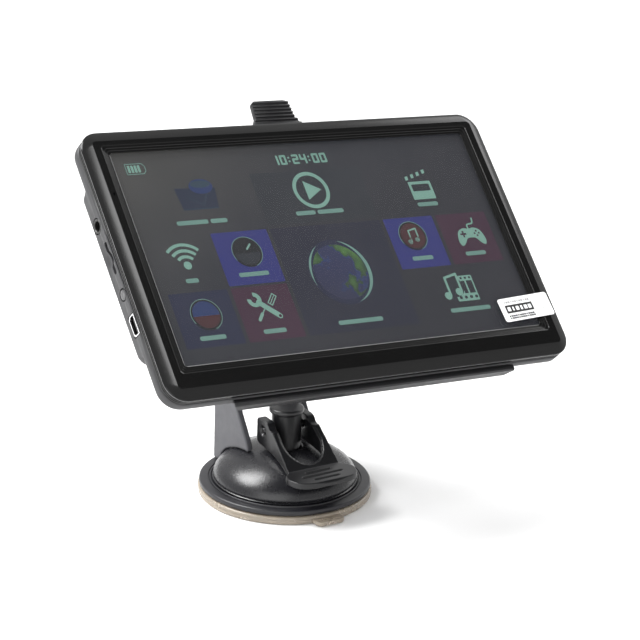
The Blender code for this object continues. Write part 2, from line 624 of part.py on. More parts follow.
def make_rear_cover():
    seam = PARTING + GAP
    layers = [(body_outline(0.4), -seam), (body_outline(0.0), -seam - 0.3), (body_outline(0.0), -THIN_DEPTH + 2.0)]
    for step in range(1, 5):
        angle = math.radians(90 * step / 4)
        layers.append((body_outline(2.0 * (1 - math.cos(angle))), -THIN_DEPTH + 2.0 * (1 - math.sin(angle))))
    cover = place("rear_cover", loft(layers), plastic("satin_black_rear", (0.055, 0.055, 0.058), 0.5), FACE)
    hump = [(hump_outline(0.0, 0.1), -7.6), (hump_outline(0.0, 0.1), -THIN_DEPTH), (hump_outline(1.5, 0.1), -10.8)]
    for step in range(1, 5):
        angle = math.radians(90 * step / 4)
        inset = 1 - math.cos(angle)
        hump.append((hump_outline(1.5 + 2.5 * inset, 0.1 + 2.4 * inset), -10.8 - 2.0 * math.sin(angle)))
    combine(cover, loft(hump), "UNION")
    inside = [(body_outline(CASE_WALL), -seam + 1), (body_outline(CASE_WALL), -THIN_DEPTH + CASE_WALL)]
    combine(cover, loft(inside))
    wall_inset = 0.1 + CASE_WALL
    hump_room = [(hump_outline(1.4, wall_inset), -7.0), (hump_outline(2.4, wall_inset), -9.4),
                 (hump_outline(4.6, wall_inset + 1.4), -HUMP_DEPTH + 1.5)]
    combine(cover, loft(hump_room))
    combine(cover, port_cutters())
    combine(cover, rear_cutters())


def hump_outline(inset_v, inset_u):
    return rounded_rect(BODY_HALF_WIDTH - inset_u, HUMP_BOTTOM + inset_v, HUMP_TOP - inset_v, 5.0 - 0.5 * inset_v, 4)


def port_cutters():
    """What the left wall is pierced with: headphone hole, card slot, button hole and USB mouth."""
    outside, inside = -BODY_HALF_WIDTH - 2, -BODY_HALF_WIDTH + 3.2
    cutters = bmesh.new()
    prism(circle(JACK_V, -JACK_DEPTH, 3.0, 24), outside, inside, "x", cutters)
    slot = rounded_rect(6.3, -0.75, 0.75, 0.6, 2)
    prism([(CARD_V + a, -CARD_DEPTH + b) for a, b in slot], outside, inside, "x", cutters)
    prism(circle(BUTTON_V, -PORT_DEPTH, BUTTON_RADIUS + 0.4, 24), outside, inside, "x", cutters)
    mouth = rounded_rect(4.2, -2.2, 2.2, 0.5, 2)
    prism([(USB_V + a, -PORT_DEPTH + b) for a, b in mouth], outside, inside, "x", cutters)
    return cutters


def rear_cutters():
    """Counterbored screw holes at the corners and the speaker's ring of holes."""
    cutters = bmesh.new()
    for u, v in CASE_SCREWS:
        lathe([(0, -12.0), (2.5, -12.0), (2.5, -THIN_DEPTH + 0.8), (1.4, -THIN_DEPTH + 0.8), (1.4, -5.0), (0, -5.0)],
              centre=(u, v), sides=SMALL, into=cutters)
    for ring, count in ((0.0, 1), (2.6, 6), (5.2, 12)):
        for i in range(count):
            angle = 2 * math.pi * i / count
            u = SPEAKER_U + ring * math.cos(angle)
            v = SPEAKER_V + ring * math.sin(angle)
            prism(circle(u, v, 0.75, 6), -14.0, -10.5, into=cutters)
    return cutters


def make_case_screws():
    steel = plastic("case_screw_steel", (0.35, 0.35, 0.37), 0.35, 1.0)
    head_low, head_high = -THIN_DEPTH - 0.1, -THIN_DEPTH + 0.5
    for number, (u, v) in enumerate(CASE_SCREWS, 1):
        screw = lathe([(0, head_low), (1.8, head_low), (2.1, head_low + 0.25), (2.1, head_high), (0.95, head_high),
                       (0.95, -PARTING + 0.2), (0, -PARTING + 0.2)], centre=(u, v), sides=14)
        place(f"case_screw_{number}", screw, steel, FACE)


def slab(name, half_u, low_v, high_v, depth_front, depth_back, material, corner=1.0, centre_u=0.0):
    outline = [(centre_u + a, b) for a, b in rounded_rect(half_u, low_v, high_v, corner, 3)]
    return place(name, prism(outline, -depth_back, -depth_front), material, FACE)


def make_display_stack():
    slab("touch_panel", 79.4, -44.1, 44.1, 1.3, 2.3, plastic("screen_glass", (0.03, 0.035, 0.04), 0.08))
    slab("lcd_panel", 79.2, -44.0, 44.0, 2.6, 4.4, plastic("lcd_glass", (0.08, 0.09, 0.10), 0.2))
    tray = slab("lcd_tray", 79.4, -44.2, 44.2, 4.7, 5.3, plastic("tray_steel", (0.6, 0.6, 0.62), 0.35, 1.0))
    windows = bmesh.new()
    for u in (-52, 0, 52):
        prism([(u + a, b) for a, b in rounded_rect(18.0, -30.0, 30.0, 4.0, 3)], -6.0, -4.0, into=windows)
    combine(tray, windows)
    slab("lcd_ribbon", 12.0, -34.0, -2.0, 5.65, 5.9, plastic("ribbon_polyimide", (0.55, 0.28, 0.06), 0.4), 1.0, -30.0)


def make_board():
    board = slab("main_pcb", 36.0, -31.0, 29.0, 6.3, 7.1, plastic("green_board", (0.02, 0.16, 0.07), 0.4), 2.0, -42.0)
    holes = bmesh.new()
    for u in (-75.0, -9.0):
        for v in (-28.0, 26.0):
            prism(circle(u, v, 1.3, 12), -8.0, -5.0, into=holes)
    combine(board, holes)
    slab("processor", 7.0, -7.0, 7.0, 7.4, 8.6, plastic("chip_epoxy", (0.03, 0.03, 0.03), 0.5), 0.5, -22.0)
    can_u, can_low, can_high = -50.0, -8.0, 20.0
    can = slab("rf_shield", 13.0, can_low, can_high, 7.4, 9.8, plastic("tin_can", (0.65, 0.65, 0.66), 0.3, 1.0), 1.0,
               can_u)
    combine(can, prism([(can_u + a, b) for a, b in rounded_rect(12.5, can_low + 0.5, can_high - 0.5, 0.8, 3)],
                       -9.3, -6.0))
    slab("gps_antenna", 9.0, 9.5, 27.5, 7.4, 10.8, plastic("ceramic_patch", (0.70, 0.62, 0.50), 0.6), 1.0, -20.0)
    slab("battery", 24.0, -30.0, 14.0, 6.2, 10.7, plastic("battery_foil", (0.55, 0.56, 0.58), 0.4, 0.6), 3.0, 24.0)


def make_speaker():
    back, rim = 6.3, 10.8
    profile = [(0, -back), (6.0, -back), (6.0, -back - 2.2), (SPEAKER_RADIUS - 0.6, -back - 2.6),
               (SPEAKER_RADIUS, -back - 3.0), (SPEAKER_RADIUS, -rim), (SPEAKER_RADIUS - 1.2, -rim),
               (SPEAKER_RADIUS - 2.4, -rim + 0.8), (3.2, -rim + 1.9), (0, -rim + 1.2)]
    place("speaker", lathe(profile, centre=(SPEAKER_U, SPEAKER_V), sides=24),
          plastic("speaker_black", (0.05, 0.05, 0.05), 0.5), FACE)


def make_ports():
    wall = -BODY_HALF_WIDTH
    jack_end = wall + 8.2
    # a barrel open at its outer end
    barrel = [(0, jack_end), (2.75, jack_end), (2.75, wall + 2.5), (2.65, wall + 2.4), (2.65, wall + 0.1),
              (1.85, wall + 0.1), (1.85, jack_end - 1.0), (0, jack_end - 1.0)]
    place("headphone_jack", lathe(barrel, "x", (JACK_V, -JACK_DEPTH), 24),
          plastic("jack_black", (0.02, 0.02, 0.02), 0.35), FACE)

    card_metal = plastic("card_steel", (0.6, 0.6, 0.62), 0.3, 1.0)
    card_start, card_end = wall + 1.9, wall + 8.2
    card = place("card_socket", box((card_start, CARD_V - 7.4, -CARD_DEPTH - 1.2),
                                    (card_end, CARD_V + 7.4, -CARD_DEPTH + 1.2)), card_metal, FACE)
    combine(card, box((card_start - 1, CARD_V - 6.2, -CARD_DEPTH - 0.6),
                      (card_end - 0.6, CARD_V + 6.2, -CARD_DEPTH + 0.6)))

    shell_outline = usb_outline(3.85, 1.95)
    shell = place("usb_shell", prism(shell_outline, wall + 0.1, wall + 8.2, "x"),
                  plastic("usb_steel", (0.75, 0.75, 0.76), 0.22, 1.0), FACE)
    combine(shell, prism(usb_outline(3.45, 1.55), wall - 1, wall + 7.7, "x"))
    place("usb_tongue", box((wall + 0.9, USB_V - 2.6, -PORT_DEPTH - 0.5), (wall + 7.3, USB_V + 2.6, -PORT_DEPTH + 0.5)),
          plastic("usb_plastic", (0.02, 0.02, 0.02), 0.4), FACE)


def usb_outline(half_v, half_w):
    """A mini USB mouth: straight on its front side, its rear corners cut."""
    cut = 0.9
    points = [(half_v, half_w), (-half_v, half_w), (-half_v, -half_w + cut), (-half_v + cut, -half_w),
              (half_v - cut, -half_w), (half_v, -half_w + cut)]
    return [(USB_V + a, -PORT_DEPTH + b) for a, b in points]


def make_buttons():
    wall = -BODY_HALF_WIDTH
    inner_face = wall + 0.1 + CASE_WALL
    button = [(0, wall - 0.05), (BUTTON_RADIUS - 0.3, wall - 0.05), (BUTTON_RADIUS, wall + 0.25),
              (BUTTON_RADIUS, inner_face + 0.3), (BUTTON_RADIUS + 0.9, inner_face + 0.3),
              (BUTTON_RADIUS + 0.9, inner_face + 1.0), (0, inner_face + 1.0)]
    place("power_button", lathe(button, "x", (BUTTON_V, -PORT_DEPTH), 24),
          plastic("button_grey", (0.10, 0.10, 0.105), 0.4), FACE)
    start = inner_face + 1.9
    place("tact_switch", box((start, BUTTON_V - 2.2, -PORT_DEPTH - 1.7), (start + 3.2, BUTTON_V + 2.2,
                                                                       -PORT_DEPTH + 1.6)),
          plastic("switch_black", (0.03, 0.03, 0.03), 0.4), FACE)
    mic = lathe(rounded_disc(1.9, -4.9, -3.3, 0.2, 2), centre=(MIC_U, MIC_V), sides=SMALL)
    place("microphone", mic, plastic("mic_can", (0.6, 0.6, 0.6), 0.35, 1.0), FACE)


def make_film_label():
    label = rounded_rect(12.1, -4.9, 4.9, 1.0, 4)
    film = prism([(73.6 + a, -35.2 + b) for a, b in label], 0.30, 0.45)
    place("film_label", film, plastic("label_white", (0.85, 0.85, 0.85), 0.4), FACE)


for old in list(bpy.data.objects):
    bpy.data.objects.remove(old, do_unlink=True)

SOCKET = socket_empty("socket_frame")
FACE = display_face("display_frame")
bpy.context.view_layer.update()

make_suction_pad()
make_base_flange()
make_dome_cover()
make_stem()
make_return_spring()
make_lever()
make_lever_pin()
make_arm_yoke()
make_arm_screws()
make_socket()
make_ball_stud()
make_cradle_plate()
make_latch_tab()
make_front_bezel()
make_rear_cover()
make_case_screws()
make_display_stack()
make_board()
make_speaker()
make_ports()
make_buttons()
make_film_label()
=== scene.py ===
"""Looks of the portable GPS navigator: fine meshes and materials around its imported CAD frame.

World frame as the CAD: metres, +Z up, origin at the centre of the suction pad's underside. Sizes named here
are millimetres. Pieces of the display are drawn in its own frame: u to its right, v to its top edge and w out
of the screen, from the middle of the screen opening at the level of the bezel's face.
"""

import json
import math

import bmesh
import bpy
from mathutils import Matrix, Vector


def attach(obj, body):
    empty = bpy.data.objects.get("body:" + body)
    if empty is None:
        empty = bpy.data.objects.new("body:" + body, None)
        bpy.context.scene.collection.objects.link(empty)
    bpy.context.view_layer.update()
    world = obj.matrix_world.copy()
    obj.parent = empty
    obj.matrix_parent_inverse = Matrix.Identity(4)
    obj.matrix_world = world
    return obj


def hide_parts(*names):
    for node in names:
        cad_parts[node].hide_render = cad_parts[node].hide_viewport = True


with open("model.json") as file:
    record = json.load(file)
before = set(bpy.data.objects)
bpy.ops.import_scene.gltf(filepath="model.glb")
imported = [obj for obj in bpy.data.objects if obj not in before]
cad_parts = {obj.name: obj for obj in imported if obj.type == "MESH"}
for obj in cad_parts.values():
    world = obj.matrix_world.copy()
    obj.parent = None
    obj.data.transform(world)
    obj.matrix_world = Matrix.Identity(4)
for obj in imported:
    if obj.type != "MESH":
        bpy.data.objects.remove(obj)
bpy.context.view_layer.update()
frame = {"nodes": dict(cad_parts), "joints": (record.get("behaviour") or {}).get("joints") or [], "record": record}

MM = 0.001
GAP = 0.3

# ---- sizes repeated from the CAD ----
PAD_RADIUS, PAD_THICK = 33.6, 3.0
FLANGE_RADIUS, FLANGE_TOP = 33.1, 5.4
DOME_RADIUS, DOME_FOOT, DOME_TOP = 28.0, 5.7, 18.6
STEM_RADIUS, STEM_TOP = 5.75, 34.8
PIN_HEIGHT, PIN_RADIUS = 26.2, 1.2
EAR_TOP, EAR_REAR, EAR_HALF_WIDTH, SLOT_HALF_WIDTH, SLOT_CENTRE = 30.6, 4.5, 10.4, 7.2, -11.2
TAB_FOOT, TAB_TOP, TAB_THICK = -21.1, 17.1, 2.5
CHEEK_OUTER, CHEEK_INNER = 15.4, 12.9
BALL_RADIUS, CUP_INNER, CUP_OUTER, NUT_INNER, NUT_OUTER = 8.0, 9.1, 11.2, 11.5, 14.0
BLOCK_FRONT, BLOCK_BACK, BLOCK_HALF = -16.3, -23.0, 8.5
BALL_DEPTH = 31.0
BODY_HALF_WIDTH, BODY_TOP, BODY_BOTTOM, BODY_CORNER = 88.0, 51.6, -55.2, 8.0
OPENING_HALF_WIDTH, OPENING_HALF_HEIGHT, OPENING_CORNER = 78.0, 42.7, 1.5
PARTING, THIN_DEPTH, HUMP_DEPTH, HUMP_TOP, HUMP_BOTTOM = 4.3, 9.2, 12.8, 35.0, -37.5
CASE_WALL, PORT_DEPTH = 1.6, 7.0
JACK_V, JACK_DEPTH, CARD_V, CARD_DEPTH = 17.9, 8.3, 4.2, 6.7
BUTTON_V, BUTTON_RADIUS, USB_V = -10.2, 2.0, -22.3
CASE_SCREWS = [(82.2, 45.6), (-82.2, 45.6), (82.2, -49.2), (-82.2, -49.2)]
SPEAKER_U, SPEAKER_V = 66.0, 0.0
MIC_U, MIC_V = -82.0, 25.7
LIP_HALF_WIDTH, LIP_FRONT_DEPTH, PLATE_THICK, PLATE_TOP = 61.2, 4.8, 2.5, 24.0
LATCH_TAB_TOP, STUD_SCREW_CIRCLE = 64.4, 9.0
GLASS_FRONT, GLASS_BACK, LCD_FRONT, LCD_BACK = -1.3, -2.3, -2.6, -4.4

FINE = 96  # facets on a large round piece
ROUND = 48
SMALL = 24

# ---- the display's and the socket's own frames, read from the joints ----
def frame_at(origin, *axes):
    return Matrix.Translation(origin) @ Matrix(axes).transposed().to_4x4()


JOINTS = {joint["name"]: joint for joint in frame["joints"]}
BALL = Vector(JOINTS["ball_tilt"]["pos_m"])
RIGHT = Vector(JOINTS["ball_tilt"]["axis"]).normalized()
UP = Vector(JOINTS["ball_pan"]["axis"]).normalized()
OUT = RIGHT.cross(UP)
FACE = frame_at(BALL + OUT * BALL_DEPTH * MM, RIGHT, UP, OUT)
SOCKET_AXIS = Vector(JOINTS["ball_swivel"]["axis"]).normalized()
ACROSS = Vector((1, 0, 0))
SOCKET = frame_at(BALL, ACROSS, SOCKET_AXIS.cross(ACROSS), SOCKET_AXIS)
WORLD = Matrix.Identity(4)


# ---- outlines: lists of (a, b) points ----
def arc(centre_a, centre_b, radius, start_deg, end_deg, steps):
    points = []
    for step in range(steps + 1):
        angle = math.radians(start_deg + (end_deg - start_deg) * step / steps)
        points.append((centre_a + radius * math.cos(angle), centre_b + radius * math.sin(angle)))
    return points


def circle(centre_a, centre_b, radius, sides=SMALL):
    return arc(centre_a, centre_b, radius, 0, 360, sides)[:-1]


def rounded_rect(half_a, low_b, high_b, radius, steps=8):
    points = []
    corners = ((half_a, high_b), (-half_a, high_b), (-half_a, low_b), (half_a, low_b))
    for quarter, (a, b) in enumerate(corners):
        centre_a = a - math.copysign(radius, a)
        centre_b = b - radius if b == high_b else b + radius
        points += arc(centre_a, centre_b, radius, 90 * quarter, 90 * quarter + 90, steps)
    return points


def smooth_curve(points, steps):
    """A Catmull-Rom curve through the points."""
    curve = []
    padded = [points[0], *points, points[-1]]
    for before, start, end, after in zip(padded, padded[1:], padded[2:], padded[3:]):
        for step in range(steps):
            t = step / steps
            curve.append(tuple(
                0.5 * (2 * q + (r - p) * t + (2 * p - 5 * q + 4 * r - s) * t * t
                       + (3 * q - p - 3 * r + s) * t ** 3)
                for p, q, r, s in zip(before, start, end, after)))
    curve.append(points[-1])
    return curve


def mirrored(half):
    return half + [(-a, b) for a, b in reversed(half) if abs(a) > 1e-6]


def shifted(outline, by_a, by_b, turn_deg=0.0):
    turn = math.radians(turn_deg)
    return [(by_a + a * math.cos(turn) - b * math.sin(turn), by_b + a * math.sin(turn) + b * math.cos(turn))
            for a, b in outline]


# ---- solids in millimetres; the mesh itself is in metres ----
AXES = {
    "x": lambda a, b, c: (c, a, b),
    "y": lambda a, b, c: (a, c, b),
    "z": lambda a, b, c: (a, b, c),
}


def loft(layers, axis="z", closed=False, into=None):
    """Skins a stack of layers, each (outline, height along the axis); a closed one joins last to first."""
    mesh_bm = into or bmesh.new()
    turn = AXES[axis]
    rings = []
    for outline, height in layers:
        rings.append([mesh_bm.verts.new(Vector(turn(a, b, height)) * MM) for a, b in outline])
    pairs = list(zip(rings, rings[1:] + rings[:1])) if closed else list(zip(rings, rings[1:]))
    for low, high in pairs:
        for i in range(len(low)):
            j = (i + 1) % len(low)
            mesh_bm.faces.new((low[i], low[j], high[j], high[i]))
    if not closed:
        mesh_bm.faces.new(rings[0])
        mesh_bm.faces.new(rings[-1])
    return mesh_bm


def prism(outline, low, high, axis="z", into=None):
    return loft([(outline, low), (outline, high)], axis, into=into)


def box(low, high, into=None):
    outline = [(low[0], low[1]), (high[0], low[1]), (high[0], high[1]), (low[0], high[1])]
    return prism(outline, low[2], high[2], "z", into)


def pillow(outline_at, low, high, edge, axis="z", into=None, steps=3):
    """A slab whose rims are rounded; outline_at gives the outline for an inset."""
    layers = []
    for a, b in arc(0, 0, edge, -90, 0, steps):
        layers.append((outline_at(edge - a), low + edge + b))
    for a, b in arc(0, 0, edge, 0, 90, steps):
        layers.append((outline_at(edge - a), high - edge + b))
    return loft(layers, axis, into=into)


def lathe(profile, axis="z", centre=(0.0, 0.0), sides=ROUND, into=None, ripple=None):
    """Turns (radius, height) points about the axis; ripple changes a radius with the angle."""
    mesh_bm = into or bmesh.new()
    turn = AXES[axis]
    rings = []
    for radius, height in profile:
        ring = []
        for i in range(1 if radius == 0 else sides):
            angle = 2 * math.pi * i / sides
            reach = ripple(radius, height, angle) if ripple else radius
            a = centre[0] + reach * math.cos(angle)
            b = centre[1] + reach * math.sin(angle)
            ring.append(mesh_bm.verts.new(Vector(turn(a, b, height)) * MM))
        rings.append(ring)
    pairs = list(zip(rings, rings[1:]))
    if len(rings[0]) > 1:
        pairs.append((rings[-1], rings[0]))
    for low, high in pairs:
        for i in range(sides):
            j = (i + 1) % sides
            corners = [low[i % len(low)], low[j % len(low)], high[j % len(high)], high[i % len(high)]]
            corners = list(dict.fromkeys(corners))
            if len(corners) > 2:
                mesh_bm.faces.new(corners)
    return mesh_bm


def shade(mesh, sharp_deg):
    mesh.shade_smooth()
    mesh.set_sharp_from_angle(angle=math.radians(sharp_deg))


def solid(name, mesh_bm, sharp_deg=35.0):
    bmesh.ops.recalc_face_normals(mesh_bm, faces=mesh_bm.faces)
    mesh = bpy.data.meshes.new(name)
    mesh_bm.to_mesh(mesh)
    mesh_bm.free()
    shade(mesh, sharp_deg)
    obj = bpy.data.objects.new(name, mesh)
    bpy.context.scene.collection.objects.link(obj)
    return obj


def bake(obj, sharp_deg=35.0):
    """Applies the object's modifiers to its mesh."""
    bpy.context.view_layer.update()
    evaluated = obj.evaluated_get(bpy.context.evaluated_depsgraph_get())
    mesh = bpy.data.meshes.new_from_object(evaluated)
    obj.modifiers.clear()
    obj.data = mesh
    shade(mesh, sharp_deg)


def combine(obj, tool_bm, operation="DIFFERENCE"):
    """Cuts, joins or crosses the object with a tool solid, and removes the tool."""
    tool = solid("tool", tool_bm)
    modifier = obj.modifiers.new("boolean", "BOOLEAN")
    modifier.operation = operation
    modifier.solver = "EXACT"
    modifier.object = tool
    bake(obj)
    bpy.data.objects.remove(tool)


def soften(obj, voxel, passes=4, keep=0.3):
    """Rounds every edge as moulded plastic is rounded: remesh, smooth, then thin out the flat areas."""
    remesh = obj.modifiers.new("remesh", "REMESH")
    remesh.mode = "VOXEL"
    remesh.voxel_size = voxel * MM
    smooth = obj.modifiers.new("smooth", "SMOOTH")
    smooth.factor = 0.5
    smooth.iterations = passes
    thin = obj.modifiers.new("thin", "DECIMATE")
    thin.ratio = keep
    bake(obj, 60.0)


def bevelled(obj, width, segments=2):
    modifier = obj.modifiers.new("bevel", "BEVEL")
    modifier.width = width * MM
    modifier.segments = segments
    modifier.limit_method = "ANGLE"
    modifier.angle_limit = math.radians(40.0)
    bake(obj, 50.0)


def fit(obj, material, body, nodes=(), place=WORLD):
    """Moves the piece from its own frame to the world, paints it and lets it ride."""
    obj.data.transform(place)
    obj.data.materials.clear()
    obj.data.materials.append(material)
    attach(obj, body)
    if nodes:
        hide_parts(*nodes)


def on_display(name, mesh_bm, material, slot, *nodes):
    fit(solid(name, mesh_bm), material, "display", nodes, FACE)


# ---- materials ----
def put(node, **values):
    """Sets the node's inputs; an underscore stands for a space in a name."""
    for name, value in values.items():
        node.inputs[name.replace("_", " ")].default_value = value


def add_node(tree, kind, source=None, into=0, **values):
    """A new shader node, its inputs set, and fed by the source at the input named by into."""
    node = tree.nodes.new("ShaderNode" + kind)
    put(node, **values)
    if source:
        tree.links.new(source, node.inputs[into])
    return node


def new_material(name):
    """The material with its node tree, its shader and its object coordinates."""
    material = bpy.data.materials.new(name)
    material.use_nodes = True
    tree = material.node_tree
    return material, tree, tree.nodes["Principled BSDF"], add_node(tree, "TexCoord").outputs["Object"]


def noise(tree, place, size, detail=3.0, roughness=0.55):
    """Noise whose features have the given size in mm."""
    settings = {"Scale": 1 / (size * MM), "Detail": detail, "Roughness": roughness}
    return add_node(tree, "TexNoise", place, "Vector", **settings).outputs["Fac"]


def ramp(tree, source, stops, *sockets):
    """Feeds the sockets a colour that follows the source through the stops."""
    colours = add_node(tree, "ValToRGB", source, "Fac")
    elements = colours.color_ramp.elements
    while len(elements) < len(stops):
        elements.new(0.5)
    for element, (position, colour) in zip(elements, stops):
        element.position = position
        element.color = (*colour, 1.0)
    for socket in sockets:
        tree.links.new(colours.outputs["Color"], socket)


def spread(tree, source, start, end, low, high):
    """A node whose result runs from low to high as the source runs from start to end."""
    return add_node(tree, "MapRange", source, "Value", From_Min=start, From_Max=end, To_Min=low, To_Max=high)


def reach_along(tree, place, direction):
    reach = add_node(tree, "VectorMath", place)
    reach.operation = "DOT_PRODUCT"
    reach.inputs[1].default_value = direction
    return reach.outputs["Value"]


def along(tree, place, direction, start, end, low, high):
    """A value that runs from low to high between two points of the display's frame, along a direction."""
    first, last = [(FACE @ (Vector(point) * MM)).dot(direction) for point in (start, end)]
    return spread(tree, reach_along(tree, place, direction), first, last, low, high).outputs["Result"]


def roughen(tree, shader, source, depth, strength=1.0):
    """Fine relief, its depth in mm."""
    bump = add_node(tree, "Bump", source, "Height", Strength=strength, Distance=depth * MM)
    tree.links.new(bump.outputs["Normal"], shader.inputs["Normal"])


def moulded(name, colour, roughness, grain=0.25, depth=0.02, variation=0.08, specular=0.5, coat=0.0,
            mottle=9.0, uneven=0.05):
    """Moulded plastic: faint colour mottling, uneven gloss and a fine surface grain; lengths in mm."""
    material, tree, shader, place = new_material(name)
    dark = [c * (1 - variation) for c in colour]
    light = [min(c * (1 + variation), 1.0) for c in colour]
    ramp(tree, noise(tree, place, mottle, 4.0), [(0.35, dark), (0.65, light)], shader.inputs["Base Color"])
    smear = noise(tree, place, mottle * 0.4, 5.0, 0.6)
    gloss = spread(tree, smear, 0.3, 0.7, max(roughness - uneven, 0.02), roughness + uneven)
    tree.links.new(gloss.outputs["Result"], shader.inputs["Roughness"])
    roughen(tree, shader, noise(tree, place, grain, 2.0), depth, 0.6)
    put(shader, Specular_IOR_Level=specular, Coat_Weight=coat)
    return material


def brushed(name, colour, roughness, axis="X"):
    """Metal with fine parallel scratches across the named axis."""
    material, tree, shader, place = new_material(name)
    scale = [0.05 if axis == letter else 1.0 for letter in "XYZ"]
    stretch = add_node(tree, "Mapping", place, "Vector", Scale=scale)
    scratches = noise(tree, stretch.outputs["Vector"], 1 / 6.0, 4.0, 0.5)
    ramp(tree, scratches, [(0.3, [c * 0.8 for c in colour]), (0.7, colour)], shader.inputs["Base Color"])
    roughen(tree, shader, scratches, 0.01, 0.4)
    put(shader, Roughness=roughness, Metallic=1.0)
    return material


def lit_face(name, specular=None):
    """A matt material whose colour ramp will drive both its colour and its own light."""
    material, tree, shader, place = new_material(name)
    put(shader, Roughness=0.6)
    if specular is not None:
        put(shader, Specular_IOR_Level=specular)
    return material, tree, shader, place, (shader.inputs["Base Color"], shader.inputs["Emission Color"])


def glowing(name, colour, strength, speckle=0.02):
    """What the lit screen shows: a colour with its own light, faintly uneven as a pixel grid is."""
    material, tree, shader, place, colours = lit_face(name, 0.1)
    low = [c * (1 - speckle) for c in colour]
    high = [min(c * (1 + speckle), 1.0) for c in colour]
    ramp(tree, noise(tree, place, 0.5, 2.0), [(0.35, low), (0.65, high)], *colours)
    put(shader, Emission_Strength=strength)
    return material


def dark_screen():
    """The unlit part of the screen: a faint backlight glow, with a painted reflection of the studio as a warmer,
    brighter haze toward its upper left corner.
    """
    material, tree, shader, place, colours = lit_face("lcd_dark", 0.1)
    # painted reflection: the glow grows warmer and brighter toward the upper left corner, standing in for the
    # studio mirrored in the screen
    corner = (UP * 0.8 - RIGHT * 0.6).normalized()
    shift = along(tree, place, corner, (40.0, -30.0, 0.0), (-78.0, 42.0, 0.0), 0.0, 1.0)
    painted_haze_tones = [(0.0, (0.020, 0.021, 0.027)), (0.55, (0.024, 0.026, 0.032)), (1.0, (0.066, 0.065, 0.058))]
    ramp(tree, shift, painted_haze_tones, *colours)
    put(shader, Emission_Strength=0.8)
    roughen(tree, shader, noise(tree, place, 0.4, 2.0), 0.002)
    return material


def globe_face():
    """Sea and land on the navigation icon, lit from above."""
    material, tree, shader, place, colours = lit_face("ui_globe_map")
    sea, shore = (0.008, 0.012, 0.060), (0.010, 0.025, 0.11)
    green, leaf = (0.010, 0.035, 0.014), (0.045, 0.13, 0.02)
    land = noise(tree, place, 9.0, 3.0, 0.45)
    ramp(tree, land, [(0.50, sea), (0.535, shore), (0.55, green), (0.68, leaf)], *colours)
    light_from = (RIGHT * 0.4 + UP).normalized()
    lit = along(tree, place, light_from, (-5.0, -23.0, 0.0), (4.0, -1.0, 0.0), 0.4, 1.3)
    tree.links.new(lit, shader.inputs["Emission Strength"])
    return material


def screen_glass():
    material, tree, shader, place = new_material("touch_glass")
    smears = noise(tree, place, 22.0, 5.0)
    gloss = spread(tree, smears, 0.0, 1.0, 0.10, 0.20)
    tree.links.new(gloss.outputs["Result"], shader.inputs["Roughness"])
    tints = [(0.3, (0.044, 0.045, 0.049)), (0.7, (0.053, 0.053, 0.057))]
    ramp(tree, smears, tints, shader.inputs["Base Color"])
    put(shader, Alpha=0.30, Specular_IOR_Level=0.9)
    return material


PAD = moulded("pad_tpu", (0.60, 0.52, 0.42), 0.25, grain=2.5, depth=0.01, mottle=14.0)
put(PAD.node_tree.nodes["Principled BSDF"], Transmission_Weight=0.55)
FLANGE = moulded("flange_plastic", (0.013, 0.013, 0.016), 0.36, grain=0.35, uneven=0.03)
DOME = moulded("dome_plastic", (0.010, 0.010, 0.012), 0.27, grain=0.42, depth=0.07, variation=0.05,
               uneven=0.015)
STEM = moulded("stem_plastic", (0.010, 0.010, 0.011), 0.30, grain=0.4, depth=0.01, variation=0.05,
               uneven=0.015)
LEVER = moulded("lever_plastic", (0.006, 0.006, 0.007), 0.30, grain=0.4, depth=0.01, variation=0.05,
                uneven=0.015)
ARM = moulded("arm_plastic", (0.055, 0.055, 0.062), 0.46, grain=0.4)
JOINT = moulded("joint_plastic", (0.018, 0.018, 0.019), 0.40, grain=0.4)
NYLON = moulded("nylon", (0.62, 0.62, 0.60), 0.5)
CRADLE = moulded("cradle_plastic", (0.010, 0.010, 0.011), 0.38, grain=0.35, specular=0.3)
BEZEL = moulded("bezel_plastic", (0.002, 0.002, 0.002), 0.17, grain=0.3, depth=0.003, specular=0.38,
                mottle=20.0, uneven=0.015)
REAR = moulded("rear_plastic", (0.036, 0.036, 0.038), 0.45, grain=0.45, depth=0.05, specular=0.4)
BUTTON = moulded("button_plastic", (0.055, 0.055, 0.057), 0.32, grain=0.3, depth=0.01)
PORT = moulded("port_plastic", (0.008, 0.008, 0.008), 0.4, grain=0.3)
TRIM = moulded("trim_plastic", (0.16, 0.16, 0.165), 0.3, grain=0.3, depth=0.01)
# painted highlight: a light grey that stands in for light caught along the screen's edge
RIM = moulded("painted_screen_edge_highlight", (0.20, 0.20, 0.20), 0.3, grain=0.3, depth=0.01, mottle=3.0)
LABEL = moulded("label_film", (0.93, 0.93, 0.93), 0.28, grain=0.6, depth=0.006, variation=0.03, coat=0.4)
INK = moulded("label_ink", (0.012, 0.012, 0.012), 0.35, grain=0.2, depth=0.004, mottle=2.0)
FADED_INK = moulded("label_grey_ink", (0.30, 0.30, 0.30), 0.4, grain=0.2, depth=0.004, mottle=2.0)
PLATED = brushed("plated_steel", (0.78, 0.78, 0.79), 0.20, "Y")
ZINC = brushed("zinc_steel", (0.50, 0.50, 0.52), 0.32)


